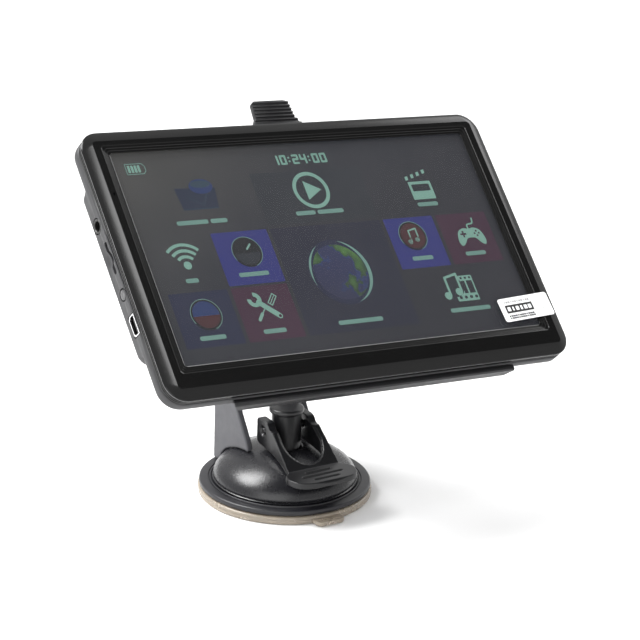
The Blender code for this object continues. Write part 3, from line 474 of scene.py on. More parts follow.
# ---- suction mount ----
def make_pad():
    rim = 0.8
    profile = [(0, 0)]
    for ring in range(1, 8):
        radius = ring * 4.2
        profile += [(radius - 0.5, 0.0), (radius, 0.22), (radius + 0.5, 0.0)]
    profile += [(PAD_RADIUS - rim, 0)]
    profile += arc(PAD_RADIUS - rim, rim, rim, -60, 0, 4)
    profile += [(PAD_RADIUS - 0.25, 1.5), (PAD_RADIUS - 0.05, 1.9)]
    profile += arc(PAD_RADIUS - rim, PAD_THICK - rim, rim, 0, 90, 5)
    profile += [(11.0, PAD_THICK), (11.0, 0.8), (0, 0.8)]
    pad = solid("pad", lathe(profile, sides=FINE))
    tab_half, tab_reach = 6.0, 37.6

    def tab_outline(inset):
        flat = rounded_rect(tab_half - inset, PAD_RADIUS - 5.0 + inset, tab_reach - inset, 2.4 - inset)
        return shifted([(b, -a) for a, b in flat], 0, 0, -92.0)

    combine(pad, pillow(tab_outline, 0.4, 2.0, 0.5), "UNION")
    ribs = bmesh.new()
    for reach in (PAD_RADIUS + 1.2, PAD_RADIUS + 2.4):
        rib = [(b, -a) for a, b in rounded_rect(4.2, reach - 0.25, reach + 0.25, 0.24, 3)]
        prism(shifted(rib, 0, 0, -92.0), 1.8, 2.3, into=ribs)
    combine(pad, ribs, "UNION")
    fit(pad, PAD, "base", ["suction_pad"])


def make_flange():
    low, edge, bead = PAD_THICK + GAP, 0.7, DOME_RADIUS + 0.75
    profile = [(22.0, low), (FLANGE_RADIUS - edge, low)]
    profile += arc(FLANGE_RADIUS - edge, low + edge, edge, -60, 0, 4)
    profile += arc(FLANGE_RADIUS - edge, FLANGE_TOP - edge, edge, 0, 80, 6)
    profile += [(bead + 0.95, FLANGE_TOP), (bead + 0.75, FLANGE_TOP - 0.35), (bead + 0.45, FLANGE_TOP - 0.35)]
    profile += arc(bead, FLANGE_TOP - 0.05, 0.3, 0, 180, 6)
    profile += [(bead - 0.45, FLANGE_TOP - 0.1), (22.0, FLANGE_TOP - 0.1)]
    flange = solid("flange", lathe(profile, sides=FINE), 50.0)
    fit(flange, FLANGE, "base", ["base_flange"])


def dome_curve(clear, start_deg, steps):
    """The dome's outside from near its foot to its flat crown, grown by a clearance."""
    crown_deg = 76
    rise, crown = DOME_TOP - DOME_FOOT + clear, math.sin(math.radians(crown_deg))
    return [((DOME_RADIUS + clear) * radius, DOME_FOOT + rise * height / crown)
            for radius, height in arc(0, 0, 1, start_deg, crown_deg, steps)]


def make_dome():
    foot = [(DOME_RADIUS - 2.0, DOME_FOOT), (DOME_RADIUS, DOME_FOOT), (DOME_RADIUS, DOME_FOOT + 0.35),
            (DOME_RADIUS - 0.35, DOME_FOOT + 0.6)]
    outer = dome_curve(0.0, 5, 22)
    bore = STEM_RADIUS + 0.5
    inner = [(radius - 1.8, height - 1.8) for radius, height in reversed(outer) if radius > bore + 2.2]
    collar = [(bore + 0.5, DOME_TOP), (bore, DOME_TOP - 0.4), (bore, DOME_TOP - 2.0)]
    dome = solid("dome", lathe(foot + outer + collar + inner, sides=FINE), 40.0)
    fit(dome, DOME, "base", ["dome_cover"])


def make_stem():
    plate, cap, edge = PAD_THICK + 0.25, STEM_RADIUS + 1.0, 1.0
    profile = [(0, plate), (10.0, plate), (10.0, plate + 1.25), (STEM_RADIUS + 0.8, plate + 1.25)]
    profile += [(STEM_RADIUS, plate + 2.0), (STEM_RADIUS, STEM_TOP - 3.0),
                (STEM_RADIUS + 0.1, STEM_TOP - 2.5), (cap - 0.25, STEM_TOP - 2.25), (cap, STEM_TOP - 1.9)]
    profile += arc(cap - edge, STEM_TOP - edge - 0.15, edge, 0, 78, 6)
    profile += [(3.2, STEM_TOP - 0.04), (0, STEM_TOP)]
    stem = solid("stem_post", lathe(profile, sides=64), 50.0)
    fit(stem, STEM, "stem", ["stem"])
    end, rounding = EAR_HALF_WIDTH - 0.2, 0.3
    pin_profile = [(0, -end), (0.9, -end), (PIN_RADIUS, rounding - end), (PIN_RADIUS, end - rounding),
                   (0.9, end), (0, end)]
    pin = solid("lever_pin_ends", lathe(pin_profile, "x", (0, PIN_HEIGHT), SMALL))
    fit(pin, LEVER, "stem", ["lever_pin"])


def lever_side():
    corner, ear_bottom, nose = 2.0, PIN_HEIGHT - 6.0, -34.6
    tab_low = TAB_TOP - TAB_THICK
    ears = arc(EAR_REAR - corner, ear_bottom + corner, corner, -90, 0, 6)
    ears += arc(EAR_REAR - 1.5, EAR_TOP - 1.5, 1.5, 0, 90, 6)
    shoulder = [(-1.8, 0.0), (-3.1, 0.3), (-4.1, 1.2), (-4.8, 2.3), (-5.8, 2.75), (-7.4, 2.75)]
    tab = [(y, EAR_TOP - drop) for y, drop in shoulder]
    tab += [(TAB_FOOT, TAB_TOP), (nose + 0.8, TAB_TOP), (nose, TAB_TOP - 0.8),
            (nose, tab_low + 0.6), (nose + 0.6, tab_low)]
    under = [(-24.5, tab_low), (TAB_FOOT, tab_low + 0.4), (-18.0, 16.4), (-13.5, 18.0), (-6.0, 19.4)]
    return ears + tab + under


def make_lever():
    foot_half, tab_half = 11.2, 14.4
    lever = solid("lever_arm", prism(lever_side(), -tab_half - 1, tab_half + 1, "x"))
    plan = [(EAR_HALF_WIDTH, EAR_REAR + 1), (EAR_HALF_WIDTH, -8.0), (foot_half, TAB_FOOT)]
    plan += smooth_curve([(13.3, -22.7), (tab_half, -25.5), (14.1, -28.5), (12.6, -31.6), (9.5, -33.4),
                          (4.5, -34.4), (0, -34.7)], 5)
    combine(lever, prism(mirrored(plan), 5.0, 45.0), "INTERSECT")
    slot_round = 7.8
    slot = [(SLOT_HALF_WIDTH, EAR_REAR + 5), (SLOT_HALF_WIDTH, -4.0),
            *arc(0, SLOT_CENTRE, slot_round, 0, -90, 12)]
    combine(lever, prism(mirrored(slot), 5.0, 45.0))
    combine(lever, rim_cutter())
    reach, floor, well, bore = EAR_HALF_WIDTH + 1, EAR_HALF_WIDTH - 0.7, 2.1, PIN_RADIUS + GAP
    wells = [(0, -reach), (well, -reach), (well, -floor), (bore, -floor),
             (bore, floor), (well, floor), (well, reach), (0, reach)]
    combine(lever, lathe(wells, "x", (0, PIN_HEIGHT), SMALL))
    grooves = bmesh.new()
    width, depth = 1.0, 0.75
    for centre, half_length in ((-24.4, 5.7), (-27.6, 8.7), (-30.9, 5.7)):
        groove = rounded_rect(half_length, centre - width / 2, centre + width / 2, 0.45, 4)
        prism(groove, TAB_TOP - depth, TAB_TOP + 1, into=grooves)
    combine(lever, grooves)
    soften(lever, 0.22, 9, 0.55)
    fit(lever, LEVER, "lever", ["lever"])


def rim_cutter():
    """A step along the slot's front rim: a wider slot, no deeper than just below the sloping front."""
    wide_half, round_half, step = SLOT_HALF_WIDTH + 0.9, 8.7, 0.6
    wide = [(wide_half, -5.2), *arc(0, SLOT_CENTRE, round_half, 0, -90, 12)]
    rim = solid("rim", prism(mirrored(wide), 5.0, 45.0))
    above = [(-4.5, EAR_TOP - 0.4 - step), (TAB_FOOT, TAB_TOP - step), (TAB_FOOT - 9, TAB_TOP + 9),
             (-4.5, 44.0)]
    combine(rim, prism(above, -20.0, 20.0, "x"), "INTERSECT")
    cutter = bmesh.new()
    cutter.from_mesh(rim.data)
    bpy.data.objects.remove(rim)
    return cutter


def socket_point(across, along):
    """World (y, z) of a point in the socket's plane."""
    point = SOCKET @ (Vector((0, across, along)) * MM) / MM
    return point.y, point.z


def make_arm():
    front = [(1.6, DOME_FOOT), (2.7, 18.0), (6.8, 25.0), (11.4, 32.0), (14.4, 43.0), (11.2, 53.0),
             socket_point(-BLOCK_HALF - 1.5, BLOCK_BACK + 2.0), socket_point(-BLOCK_HALF, BLOCK_FRONT)]
    back = [socket_point(BLOCK_HALF, BLOCK_FRONT), socket_point(BLOCK_HALF, BLOCK_BACK),
            (27.4, 58.0), (29.2, 46.0), (29.2, 30.0), (29.2, DOME_FOOT)]
    side = smooth_curve(front, 6) + smooth_curve(back, 6)
    arm = solid("arm", prism(side, -CHEEK_OUTER, CHEEK_OUTER, "x"))
    under_block = [socket_point(-30.0, BLOCK_BACK), socket_point(30.0, BLOCK_BACK), (40.0, 60.0),
                   (40.0, 11.0), (26.0, 11.0), (26.0, 0.0), (-30.0, 0.0), (-30.0, 62.0)]
    combine(arm, prism(under_block, -CHEEK_INNER, CHEEK_INNER, "x"))
    low, clear, foot_radius = DOME_FOOT - 3, 0.4, DOME_RADIUS + 1.4
    room = [(0, low), (foot_radius, low), (foot_radius, DOME_FOOT + 0.5)]
    room += dome_curve(clear, 6, 16) + [(0, DOME_TOP + clear)]
    combine(arm, lathe(room, sides=64))
    soften(arm, 0.36, 8, 0.4)
    fit(arm, ARM, "base", ["arm_yoke"])


# ---- ball joint ----
def cross_screw(name, node, head, centre, sides, floor, half_length, width):
    """A turned screw in the display's frame, with a cross cut into its head down to the floor."""
    half = width / 2
    arm = [(half_length, -half), (half_length, half), (half, half)]
    cross = []
    for _ in range(4):
        cross += arm
        arm = [(-b, a) for a, b in arm]
    screw = solid(name, lathe(head, centre=centre, sides=sides))
    combine(screw, prism(shifted(cross, *centre), head[0][1] - 1, floor))
    fit(screw, ZINC, "display", [node], FACE)


def make_socket():
    neck, neck_end, cup_top = 6.5, BLOCK_FRONT + GAP, 3.2
    outer_top = math.degrees(math.asin(cup_top / CUP_OUTER))
    inner_top = math.degrees(math.asin(cup_top / CUP_INNER))
    profile = [(0, neck_end), (neck, neck_end)]
    profile += arc(0, 0, CUP_OUTER, -math.degrees(math.acos(neck / CUP_OUTER)), outer_top, 16)
    profile += arc(0, 0, CUP_INNER, inner_top, -90, 20)[:-1] + [(0, -CUP_INNER)]
    cup = solid("cup", lathe(profile, sides=FINE))
    fit(cup, JOINT, "base", ["socket_cup"], SOCKET)

    head_low, head_high = BLOCK_BACK - 2.2, BLOCK_BACK - GAP
    bolt = [(0, head_low), (2.6, head_low), (3.1, head_low + 0.5), (3.2, head_high), (1.2, head_high),
            (1.2, -11.2), (0, -11.2)]
    screw = solid("arm_bolt", lathe(bolt))
    combine(screw, prism(circle(0, 0, 1.4, 6), head_low - 1, head_low + 1.2))
    fit(screw, ZINC, "base", ["socket_screw"], SOCKET)

    nut_low, nut_high, lip_low, lip, flutes = -4.0, 5.5, 3.7, 7.3, 12

    def ripple(radius, height, angle):
        if radius < NUT_OUTER - 0.7 or height > nut_high - 1.3:
            return radius
        dip = max(0.0, math.cos(flutes * angle)) ** 3
        return radius - 1.0 * dip

    nut = [(NUT_INNER, nut_low), (NUT_OUTER - 0.6, nut_low), (NUT_OUTER - 0.2, nut_low + 0.2),
           (NUT_OUTER, nut_low + 0.6), (NUT_OUTER, nut_high - 1.6), (NUT_OUTER - 0.25, nut_high - 1.25)]
    nut += arc(NUT_OUTER - 1.2, nut_high - 1.0, 1.0, 10, 90, 5)
    nut += [(lip + 0.5, nut_high), (lip + 0.1, nut_high - 0.2), (lip, nut_high - 0.5), (lip, lip_low),
            (NUT_INNER, lip_low)]
    ring = solid("nut_ring", lathe(nut, sides=flutes * 16, ripple=ripple))
    fit(ring, JOINT, "nut", ["lock_nut"], SOCKET)


def make_stud():
    seat = -(HUMP_DEPTH + GAP + PLATE_THICK + GAP)
    flange, thick, neck, bore, bore_end = 12.0, 2.2, 3.6, 2.9, 1.0
    profile = [(0, seat), (flange, seat), (flange, seat - thick + 0.6)]
    profile += arc(flange - 0.6, seat - thick + 0.6, 0.6, 0, -90, 4)
    profile += [(6.4, seat - thick), (5.0, seat - thick - 0.4), (4.1, seat - thick - 1.3),
                (neck, seat - thick - 2.8)]
    profile += arc(0, -BALL_DEPTH, BALL_RADIUS, math.degrees(math.acos(neck / BALL_RADIUS)),
                   -math.degrees(math.acos(bore / BALL_RADIUS)), 28)
    profile += [(bore, -BALL_DEPTH + bore_end), (0, -BALL_DEPTH + bore_end + 2.2)]
    on_display("ball_and_plate", lathe(profile, sides=FINE), JOINT, "joint_plastic", "ball_stud")
    low = seat - thick - GAP - 1.2
    head = [(0, low), (1.1, low), (1.6, low + 0.35), (1.7, low + 0.7), (1.7, low + 1.2),
            (0.85, low + 1.2), (0.85, seat + 2.5), (0, seat + 2.5)]
    for number in range(1, 5):
        angle = math.radians(90 * number - 45)
        centre = (STUD_SCREW_CIRCLE * math.cos(angle), STUD_SCREW_CIRCLE * math.sin(angle))
        names = (f"plate_screw_{number}", f"stud_screw_{number}")
        cross_screw(*names, head, centre, SMALL, low + 0.5, 0.9, 0.36)


# ---- cradle ----
def make_cradle():
    front, hump_front = -(THIN_DEPTH + GAP), -(HUMP_DEPTH + GAP)
    shelf_top = BODY_BOTTOM - GAP
    shelf_low = shelf_top - 2.2
    back = hump_front - PLATE_THICK
    section = [(shelf_top, -LIP_FRONT_DEPTH), (shelf_top, front), (HUMP_BOTTOM - 0.6, front),
               (HUMP_BOTTOM + 3.0, hump_front), (PLATE_TOP, hump_front), (PLATE_TOP, back),
               (HUMP_BOTTOM + 1.9, back), (HUMP_BOTTOM - 2.0, front - PLATE_THICK),
               (shelf_top + 1.4, front - PLATE_THICK), (shelf_low + 1.0, front - 0.9),
               (shelf_low, front + 0.6), (shelf_low, -LIP_FRONT_DEPTH - 0.5),
               (shelf_low + 0.5, -LIP_FRONT_DEPTH)]
    plate = solid("cradle", prism(section, -LIP_HALF_WIDTH, LIP_HALF_WIDTH, "x"))
    waist, shoulder = 32.0, 56.5
    half = [(10.0, PLATE_TOP + 5), (24.0, PLATE_TOP + 5), (24.0, PLATE_TOP - 4)]
    flank = [(30.5, PLATE_TOP - 9), (waist, 8.0), (waist, -14.0), (36.0, -27.0), (46.0, -37.0),
             (shoulder, -44.0), (shoulder, -51.5), (LIP_HALF_WIDTH - 1.5, -54.0)]
    half += smooth_curve(flank, 6)
    half += [(LIP_HALF_WIDTH, -55.0), (LIP_HALF_WIDTH, -70.0)]
    combine(plate, prism(mirrored(half), -40.0, 0.0), "INTERSECT")
    cut_in, top = LIP_HALF_WIDTH - 5.0, -LIP_FRONT_DEPTH
    ends = [(cut_in, -20.0), (cut_in, -11.6), (LIP_HALF_WIDTH, top - 0.8), (LIP_HALF_WIDTH, top + 1)]
    combine(plate, prism(mirrored(ends), -80.0, 40.0, "y"), "INTERSECT")
    pockets = bmesh.new()
    for side in (-1, 1):
        pocket = shifted(rounded_rect(5.5, -20.0, 12.0, 2.0), side * 22.0, 0.0)
        prism(pocket, back - 1, back + 0.7, into=pockets)
    combine(plate, pockets)
    bevelled(plate, 0.35)
    fit(plate, CRADLE, "display", ["cradle_plate"], FACE)


def make_latch():
    hump_front, thin_front = -(HUMP_DEPTH + GAP), -(THIN_DEPTH + GAP)
    hook_low, root, thick = BODY_TOP + GAP, PLATE_TOP + 0.7, 2.2
    ribs, pitch, rib_low, face, rib_face = 6, 1.5, BODY_TOP + GAP + 3.3, -5.4, -4.9
    section = [(root, hump_front), (33.0, hump_front), (37.0, thin_front), (hook_low, thin_front),
               (hook_low, -4.4), (hook_low + 2.0, -4.4), (hook_low + 2.3, face)]
    for i in range(ribs):
        low = rib_low + pitch * i
        section += [(low, face), (low + 0.25, rib_face), (low + 0.75, rib_face), (low + 1.0, face)]
    section += [(LATCH_TAB_TOP, face - 0.3), (LATCH_TAB_TOP, face - 1.8), (hook_low + 3.2, face - 2.2),
                (hook_low + 2.4, thin_front - 1.0), (hook_low + 0.6, thin_front - thick),
                (36.0, thin_front - thick), (32.0, hump_front - thick), (root, hump_front - thick)]
    latch = solid("latch", prism(section, -12.0, 12.0, "x"))
    half = [(8.0, root - 2), (8.0, 48.0), (10.2, 51.0), (10.2, hook_low + 2.4), (8.6, hook_low + 5.0),
            (8.2, LATCH_TAB_TOP - 2.4)]
    half += arc(6.0, LATCH_TAB_TOP - 2.2, 2.2, 10, 90, 6)
    combine(latch, prism(mirrored(half), -30.0, 5.0), "INTERSECT")
    bevelled(latch, 0.15)
    fit(latch, CRADLE, "latch", ["latch_tab"], FACE)


# ---- case ----
def body_outline(inset):
    """The case's outline; its corners tighten faster than the inset, down to a nearly square crease."""
    return rounded_rect(BODY_HALF_WIDTH - inset, BODY_BOTTOM + inset, BODY_TOP - inset,
                        max(BODY_CORNER - 1.5 * inset, 1.0), 12)


def opening_outline(outset):
    half_height = OPENING_HALF_HEIGHT + outset
    return rounded_rect(OPENING_HALF_WIDTH + outset, -half_height, half_height, OPENING_CORNER, 12)


def make_bezel():
    step, seam, bezel_sharp_deg = 0.4, 1.5, 11.0
    layers = [(body_outline(step), -PARTING)]
    for ridge in range(2):  # fine ridges run round the recessed band
        depth = -PARTING + 0.45 + 0.85 * ridge
        layers += [(body_outline(step), depth), (body_outline(step + 0.22), depth + 0.12),
                   (body_outline(step + 0.22), depth + 0.36), (body_outline(step), depth + 0.48)]
    layers += [(body_outline(step), -seam - 0.35), (body_outline(0.12), -seam - 0.22),
               (body_outline(0.0), -seam - 0.1)]
    shoulder = [(0.0, 1.5), (0.1, 1.35), (0.35, 1.17), (0.8, 0.96), (1.5, 0.73), (2.4, 0.46), (3.3, 0.22),
                (4.3, 0.0)]
    layers += [(body_outline(inset), -depth) for inset, depth in shoulder]
    rim, pocket, back = 1.0, 1.8, 3.0
    terraces = [(2.8, 0.0), (2.55, 0.12), (1.75, 0.27), (1.6, 0.42), (0.85, 0.56), (0.7, 0.7), (0.1, 0.8),
                (0.0, 0.85)]
    layers += [(opening_outline(outset), -depth) for outset, depth in terraces]
    layers += [(opening_outline(0.0), -rim), (opening_outline(pocket), -rim),
               (opening_outline(pocket), -back), (body_outline(step + CASE_WALL), -back),
               (body_outline(step + CASE_WALL), -PARTING)]
    bezel = solid("bezel", loft(layers, closed=True))
    combine(bezel, lathe([(0, -4.0), (0.5, -4.0), (0.5, 1.0), (0, 1.0)], centre=(MIC_U, MIC_V), sides=SMALL))
    shade(bezel.data, bezel_sharp_deg)
    fit(bezel, BEZEL, "display", ["front_bezel"], FACE)
    trim = [(body_outline(inset), -seam - depth)
            for inset, depth in ((0.3, 0.34), (-0.03, 0.3), (-0.03, 0.12), (0.3, 0.12))]
    on_display("front_trim", loft(trim, closed=True), TRIM, "bezel_plastic")
    # painted highlight: a light grey strip along only the left and bottom edges of the glass stands in for light
    # caught there
    left, low, right, top, thin = -OPENING_HALF_WIDTH, -OPENING_HALF_HEIGHT, 77.8, 42.0, 0.32
    corner = [(left, top), (left, low), (right, low), (right, low + thin), (left + thin, low + thin),
              (left + thin, top)]
    on_display("screen_edge_painted_highlight", prism(corner, -1.28, -1.05), RIM, "bezel_plastic")


def hump_outline(inset_v, inset_u):
    corner = 5.0 - 0.5 * inset_v
    return rounded_rect(BODY_HALF_WIDTH - inset_u, HUMP_BOTTOM + inset_v, HUMP_TOP - inset_v, corner, 10)


def quarter_round(steps=8):
    """(in, down) along a rounded edge of unit radius."""
    angles = [math.radians(90 * i / steps) for i in range(1, steps + 1)]
    return [(1 - math.cos(angle), math.sin(angle)) for angle in angles]


def usb_outline(half_v, half_w):
    cut = 0.9
    points = [(half_v, half_w), (-half_v, half_w), (-half_v, -half_w + cut), (-half_v + cut, -half_w),
              (half_v - cut, -half_w), (half_v, -half_w + cut)]
    return [(USB_V + a, -PORT_DEPTH + b) for a, b in points]


def port_cutters():
    outside, inside = -BODY_HALF_WIDTH - 2, -BODY_HALF_WIDTH + 3.2
    cutters = bmesh.new()
    for outline in (circle(JACK_V, -JACK_DEPTH, 3.0, ROUND),
                    shifted(rounded_rect(6.3, -0.9, 0.9, 0.7, 4), CARD_V, -CARD_DEPTH),
                    circle(BUTTON_V, -PORT_DEPTH, BUTTON_RADIUS + 0.4, ROUND),
                    shifted(rounded_rect(4.2, -2.2, 2.2, 0.6, 4), USB_V, -PORT_DEPTH)):
        prism(outline, outside, inside, "x", cutters)
    return cutters


def make_rear():
    seam, edge = PARTING + GAP, 2.0
    layers = [(body_outline(0.4), -seam), (body_outline(0.1), -seam - 0.2), (body_outline(0.0), -seam - 0.4),
              (body_outline(0.0), -THIN_DEPTH + edge)]
    layers += [(body_outline(edge * inward), -THIN_DEPTH + edge * (1 - down))
               for inward, down in quarter_round()]
    rear = solid("rear_shell", loft(layers))
    slope_end = -10.8
    hump = [(hump_outline(0.0, 0.1), -7.6), (hump_outline(0.0, 0.1), -THIN_DEPTH),
            (hump_outline(1.5, 0.1), slope_end)]
    hump += [(hump_outline(1.5 + 2.5 * inward, 0.1 + 2.4 * inward), slope_end - edge * down)
             for inward, down in quarter_round()]
    combine(rear, loft(hump), "UNION")
    combine(rear, prism(body_outline(CASE_WALL), -seam + 1, -THIN_DEPTH + CASE_WALL))
    wall = 0.1 + CASE_WALL
    combine(rear, loft([(hump_outline(1.4, wall), -7.0), (hump_outline(2.4, wall), -9.4),
                        (hump_outline(4.6, wall + 1.4), -HUMP_DEPTH + 1.5)]))
    combine(rear, port_cutters())
    side = -BODY_HALF_WIDTH
    thumb = [(0, side - 1.2), (4.4, side - 1.2), (3.4, side), (1.8, side + 0.75), (0, side + 1.0)]
    combine(rear, lathe(thumb, "x", (CARD_V, -CARD_DEPTH - 1.2), ROUND))
    holes = bmesh.new()
    seat = -THIN_DEPTH + 0.8
    for centre in CASE_SCREWS:
        lathe([(0, -12.0), (2.5, -12.0), (2.5, seat), (1.4, seat), (1.4, -5.0), (0, -5.0)],
              centre=centre, sides=SMALL, into=holes)
    grille_hole = [(0, -14.0), (0.95, -14.0), (0.95, -HUMP_DEPTH), (0.7, -HUMP_DEPTH + 0.25), (0.7, -10.5),
                   (0, -10.5)]
    for ring, count in ((0.0, 1), (2.6, 6), (5.2, 12)):
        for i in range(count):
            angle = 2 * math.pi * i / count
            centre = (SPEAKER_U + ring * math.cos(angle), SPEAKER_V + ring * math.sin(angle))
            lathe(grille_hole, centre=centre, sides=12, into=holes)
    combine(rear, holes)
    fit(rear, REAR, "display", ["rear_cover"], FACE)
    low, high = -THIN_DEPTH - 0.1, -THIN_DEPTH + 0.5
    head = [(0, low), (1.5, low), (1.95, low + 0.2), (2.1, low + 0.45), (2.1, high), (0.95, high),
            (0.95, -PARTING + 0.2), (0, -PARTING + 0.2)]
    for number, centre in enumerate(CASE_SCREWS, 1):
        names = (f"rear_screw_{number}", f"case_screw_{number}")
        cross_screw(*names, head, centre, ROUND, low + 0.45, 1.15, 0.45)


def make_ports():
    wall = -BODY_HALF_WIDTH
    barrel = [(0, wall + 8.2), (2.75, wall + 8.2), (2.75, wall + 0.3), (2.6, wall + 0.1), (2.1, wall + 0.1),
              (1.85, wall + 0.35), (1.85, wall + 7.2), (0, wall + 7.2)]
    jack = lathe(barrel, "x", (JACK_V, -JACK_DEPTH))
    on_display("jack_barrel", jack, PORT, "port_plastic", "headphone_jack")
    shell = solid("usb_frame", prism(usb_outline(3.85, 1.95), wall + 0.1, wall + 8.2, "x"))
    combine(shell, prism(usb_outline(3.45, 1.55), wall - 1, wall + 7.7, "x"))
    fit(shell, PLATED, "display", ["usb_shell"], FACE)
    tongue = box((wall + 0.9, USB_V - 2.6, -PORT_DEPTH - 0.5), (wall + 7.3, USB_V + 2.6, -PORT_DEPTH + 0.5))
    on_display("usb_tongue_bar", tongue, PORT, "port_plastic", "usb_tongue")
    contacts = bmesh.new()
    for i in range(5):
        v = USB_V - 1.6 + 0.8 * i
        box((wall + 1.0, v - 0.2, -PORT_DEPTH + 0.45), (wall + 6.5, v + 0.2, -PORT_DEPTH + 0.6), contacts)
    on_display("usb_contacts", contacts, PLATED, "port_steel")
    cage = box((wall + 1.9, CARD_V - 7.4, -CARD_DEPTH - 1.2), (wall + 8.2, CARD_V + 7.4, -CARD_DEPTH + 1.2))
    slot = box((wall + 0.9, CARD_V - 6.2, -CARD_DEPTH - 0.6), (wall + 7.6, CARD_V + 6.2, -CARD_DEPTH + 0.6))
    card = solid("card_cage", cage)
    combine(card, slot)
    fit(card, PLATED, "display", ["card_socket"], FACE)
    inner, collar = wall + 0.1 + CASE_WALL, BUTTON_RADIUS + 0.7
    profile = [(0, wall + 0.1), (0.9, wall), (BUTTON_RADIUS - 0.5, wall - 0.05),
               (BUTTON_RADIUS - 0.15, wall + 0.1), (BUTTON_RADIUS, wall + 0.4), (BUTTON_RADIUS, inner + 0.4),
               (collar, inner + 0.4), (collar, inner + 1.0), (0, inner + 1.0)]
    button = solid("button_cap", lathe(profile, "x", (BUTTON_V, -PORT_DEPTH)))
    fit(button, BUTTON, "button", ["power_button"], FACE)


# ---- screen ----
MINT = "mint"
UI_COLOURS = {  # name: colour and strength of its light
    MINT: ((0.21, 0.40, 0.33), 0.75),
    "pale": ((0.17, 0.33, 0.28), 0.65),
    "blue": ((0.022, 0.026, 0.17), 0.8),
    "royal": ((0.016, 0.035, 0.13), 0.7),
    "purple": ((0.050, 0.016, 0.036), 0.7),
    "navy": ((0.014, 0.018, 0.048), 0.7),
    "dusk": ((0.015, 0.017, 0.033), 0.7),
    "slate": ((0.021, 0.025, 0.031), 0.75),
    "steel": ((0.025, 0.055, 0.085), 0.6),
    "shade": ((0.008, 0.010, 0.011), 0.4),
    "red": ((0.070, 0.018, 0.020), 0.5),
    "sky": ((0.013, 0.022, 0.048), 0.7),
    "globe": None,  # it has a map of its own
}
INK_MESHES = {name: bmesh.new() for name in UI_COLOURS}
PARALLAX = (0.9, 0.6)  # the image lies a little behind the glass
LAYER = 0.03  # the drawings lie in thin layers, so that none shares a plane


def ink(colour, outline, layer=0):
    low = LCD_FRONT + 0.004 + LAYER * layer
    prism(shifted(outline, *PARALLAX), low, low + LAYER * 0.8, into=INK_MESHES[colour])


def bars(points, width, closed=False, rounding=0.499, steps=4):
    """The outlines of a line's straight stretches, each with round ends."""
    ends = points[1:] + points[:1] if closed else points[1:]
    for (a0, b0), (a1, b1) in zip(points, ends):
        length = math.hypot(a1 - a0, b1 - b0)
        bar = rounded_rect(length / 2 + width / 2, -width / 2, width / 2, width * rounding, steps)
        yield shifted(bar, (a0 + a1) / 2, (b0 + b1) / 2, math.degrees(math.atan2(b1 - b0, a1 - a0)))


def stroke(colour, points, width, layer=1, closed=False):
    for bar in bars(points, width, closed):
        ink(colour, bar, layer)


def band(colour, centre, inner, outer, start_deg, end_deg, layer=1, steps=40):
    """A ring, or part of one."""
    span = (end_deg - start_deg) / steps
    for i in range(steps):
        first = start_deg + span * i
        last = first + span
        ink(colour, arc(*centre, outer, first, last, 1) + arc(*centre, inner, last, first, 1), layer)


def panel(colour, low_u, high_u, low_v, high_v, layer=0):
    half = (high_u - low_u) / 2
    ink(colour, shifted(rounded_rect(half, low_v, high_v, 0.3, 2), (low_u + high_u) / 2, 0), layer)


def caption(centre_u, centre_v, *words):
    """Plain bars where the screen names its icons; words are their lengths."""
    space, height = 1.0, 1.7
    start = centre_u - (sum(words) + space * (len(words) - 1)) / 2
    for length in words:
        bar = rounded_rect(length / 2, centre_v - height / 2, centre_v + height / 2, 0.7, 4)
        ink("pale", shifted(bar, start + length / 2, 0), 2)
        start += length + space


SEGMENTS = {"0": "abcdef", "1": "bc", "2": "abged", "4": "fgbc"}
SEGMENT_ENDS = {
    "a": ((0, 1), (1, 1)), "b": ((1, 1), (1, 0.5)), "c": ((1, 0.5), (1, 0)), "d": ((0, 0), (1, 0)),
    "e": ((0, 0.5), (0, 0)), "f": ((0, 1), (0, 0.5)), "g": ((0, 0.5), (1, 0.5)),
}


def draw_clock(text, centre_u, low_v):
    width, height, pitch, colon_pitch = 2.0, 3.3, 3.5, 1.9
    total = sum(colon_pitch if mark == ":" else pitch for mark in text)
    u = centre_u - total / 2
    for mark in text:
        if mark == ":":
            for share in (0.28, 0.75):
                ink(MINT, circle(u + 0.7, low_v + height * share, 0.42, 12), 1)
            u += colon_pitch
            continue
        for segment in SEGMENTS[mark]:
            ends = [(u + a * width + 0.6, low_v + b * height) for a, b in SEGMENT_ENDS[segment]]
            stroke(MINT, ends, 0.85)
        u += pitch


def draw_battery(u, v):
    half_width, half_height, line = 3.9, 2.1, 0.3
    corners = [(u - half_width, v - half_height), (u + half_width - 1.0, v - half_height),
               (u + half_width, v - 0.9), (u + half_width, v + 0.9), (u + half_width - 1.0, v + half_height),
               (u - half_width, v + half_height)]
    stroke("pale", corners, line, closed=True)
    for i in range(4):
        left = u - half_width + 0.7 + 1.35 * i
        panel(MINT, left, left + 1.0, v - 1.5, v + 1.5, 1)


def draw_play(u, v):
    band(MINT, (u, v), 6.3, 7.8, 0, 360)
    ink(MINT, [(u - 2.4, v + 4.0), (u - 2.4, v - 4.0), (u + 4.4, v)], 1)


def draw_clapper(u, v):
    panel(MINT, u - 5.2, u + 5.2, v - 6.2, v + 1.6, 1)
    panel("slate", u - 4.1, u + 4.1, v - 2.6, v + 0.4, 2)
    slant = [(-0.9, -0.8), (0.5, -0.8), (0.9, 0.8), (-0.5, 0.8)]
    for i in range(4):
        ink(MINT, shifted(slant, u - 5.0 + 2.9 * i, v + 3.2 + 0.85 * i, 14.0), 1)


def draw_waves(u, v):
    ink(MINT, circle(u, v - 3.9, 1.6, 20), 1)
    for radius in (4.2, 6.6, 9.0):
        band(MINT, (u, v - 4.6), radius - 0.6, radius + 0.6, 45, 135, steps=16)


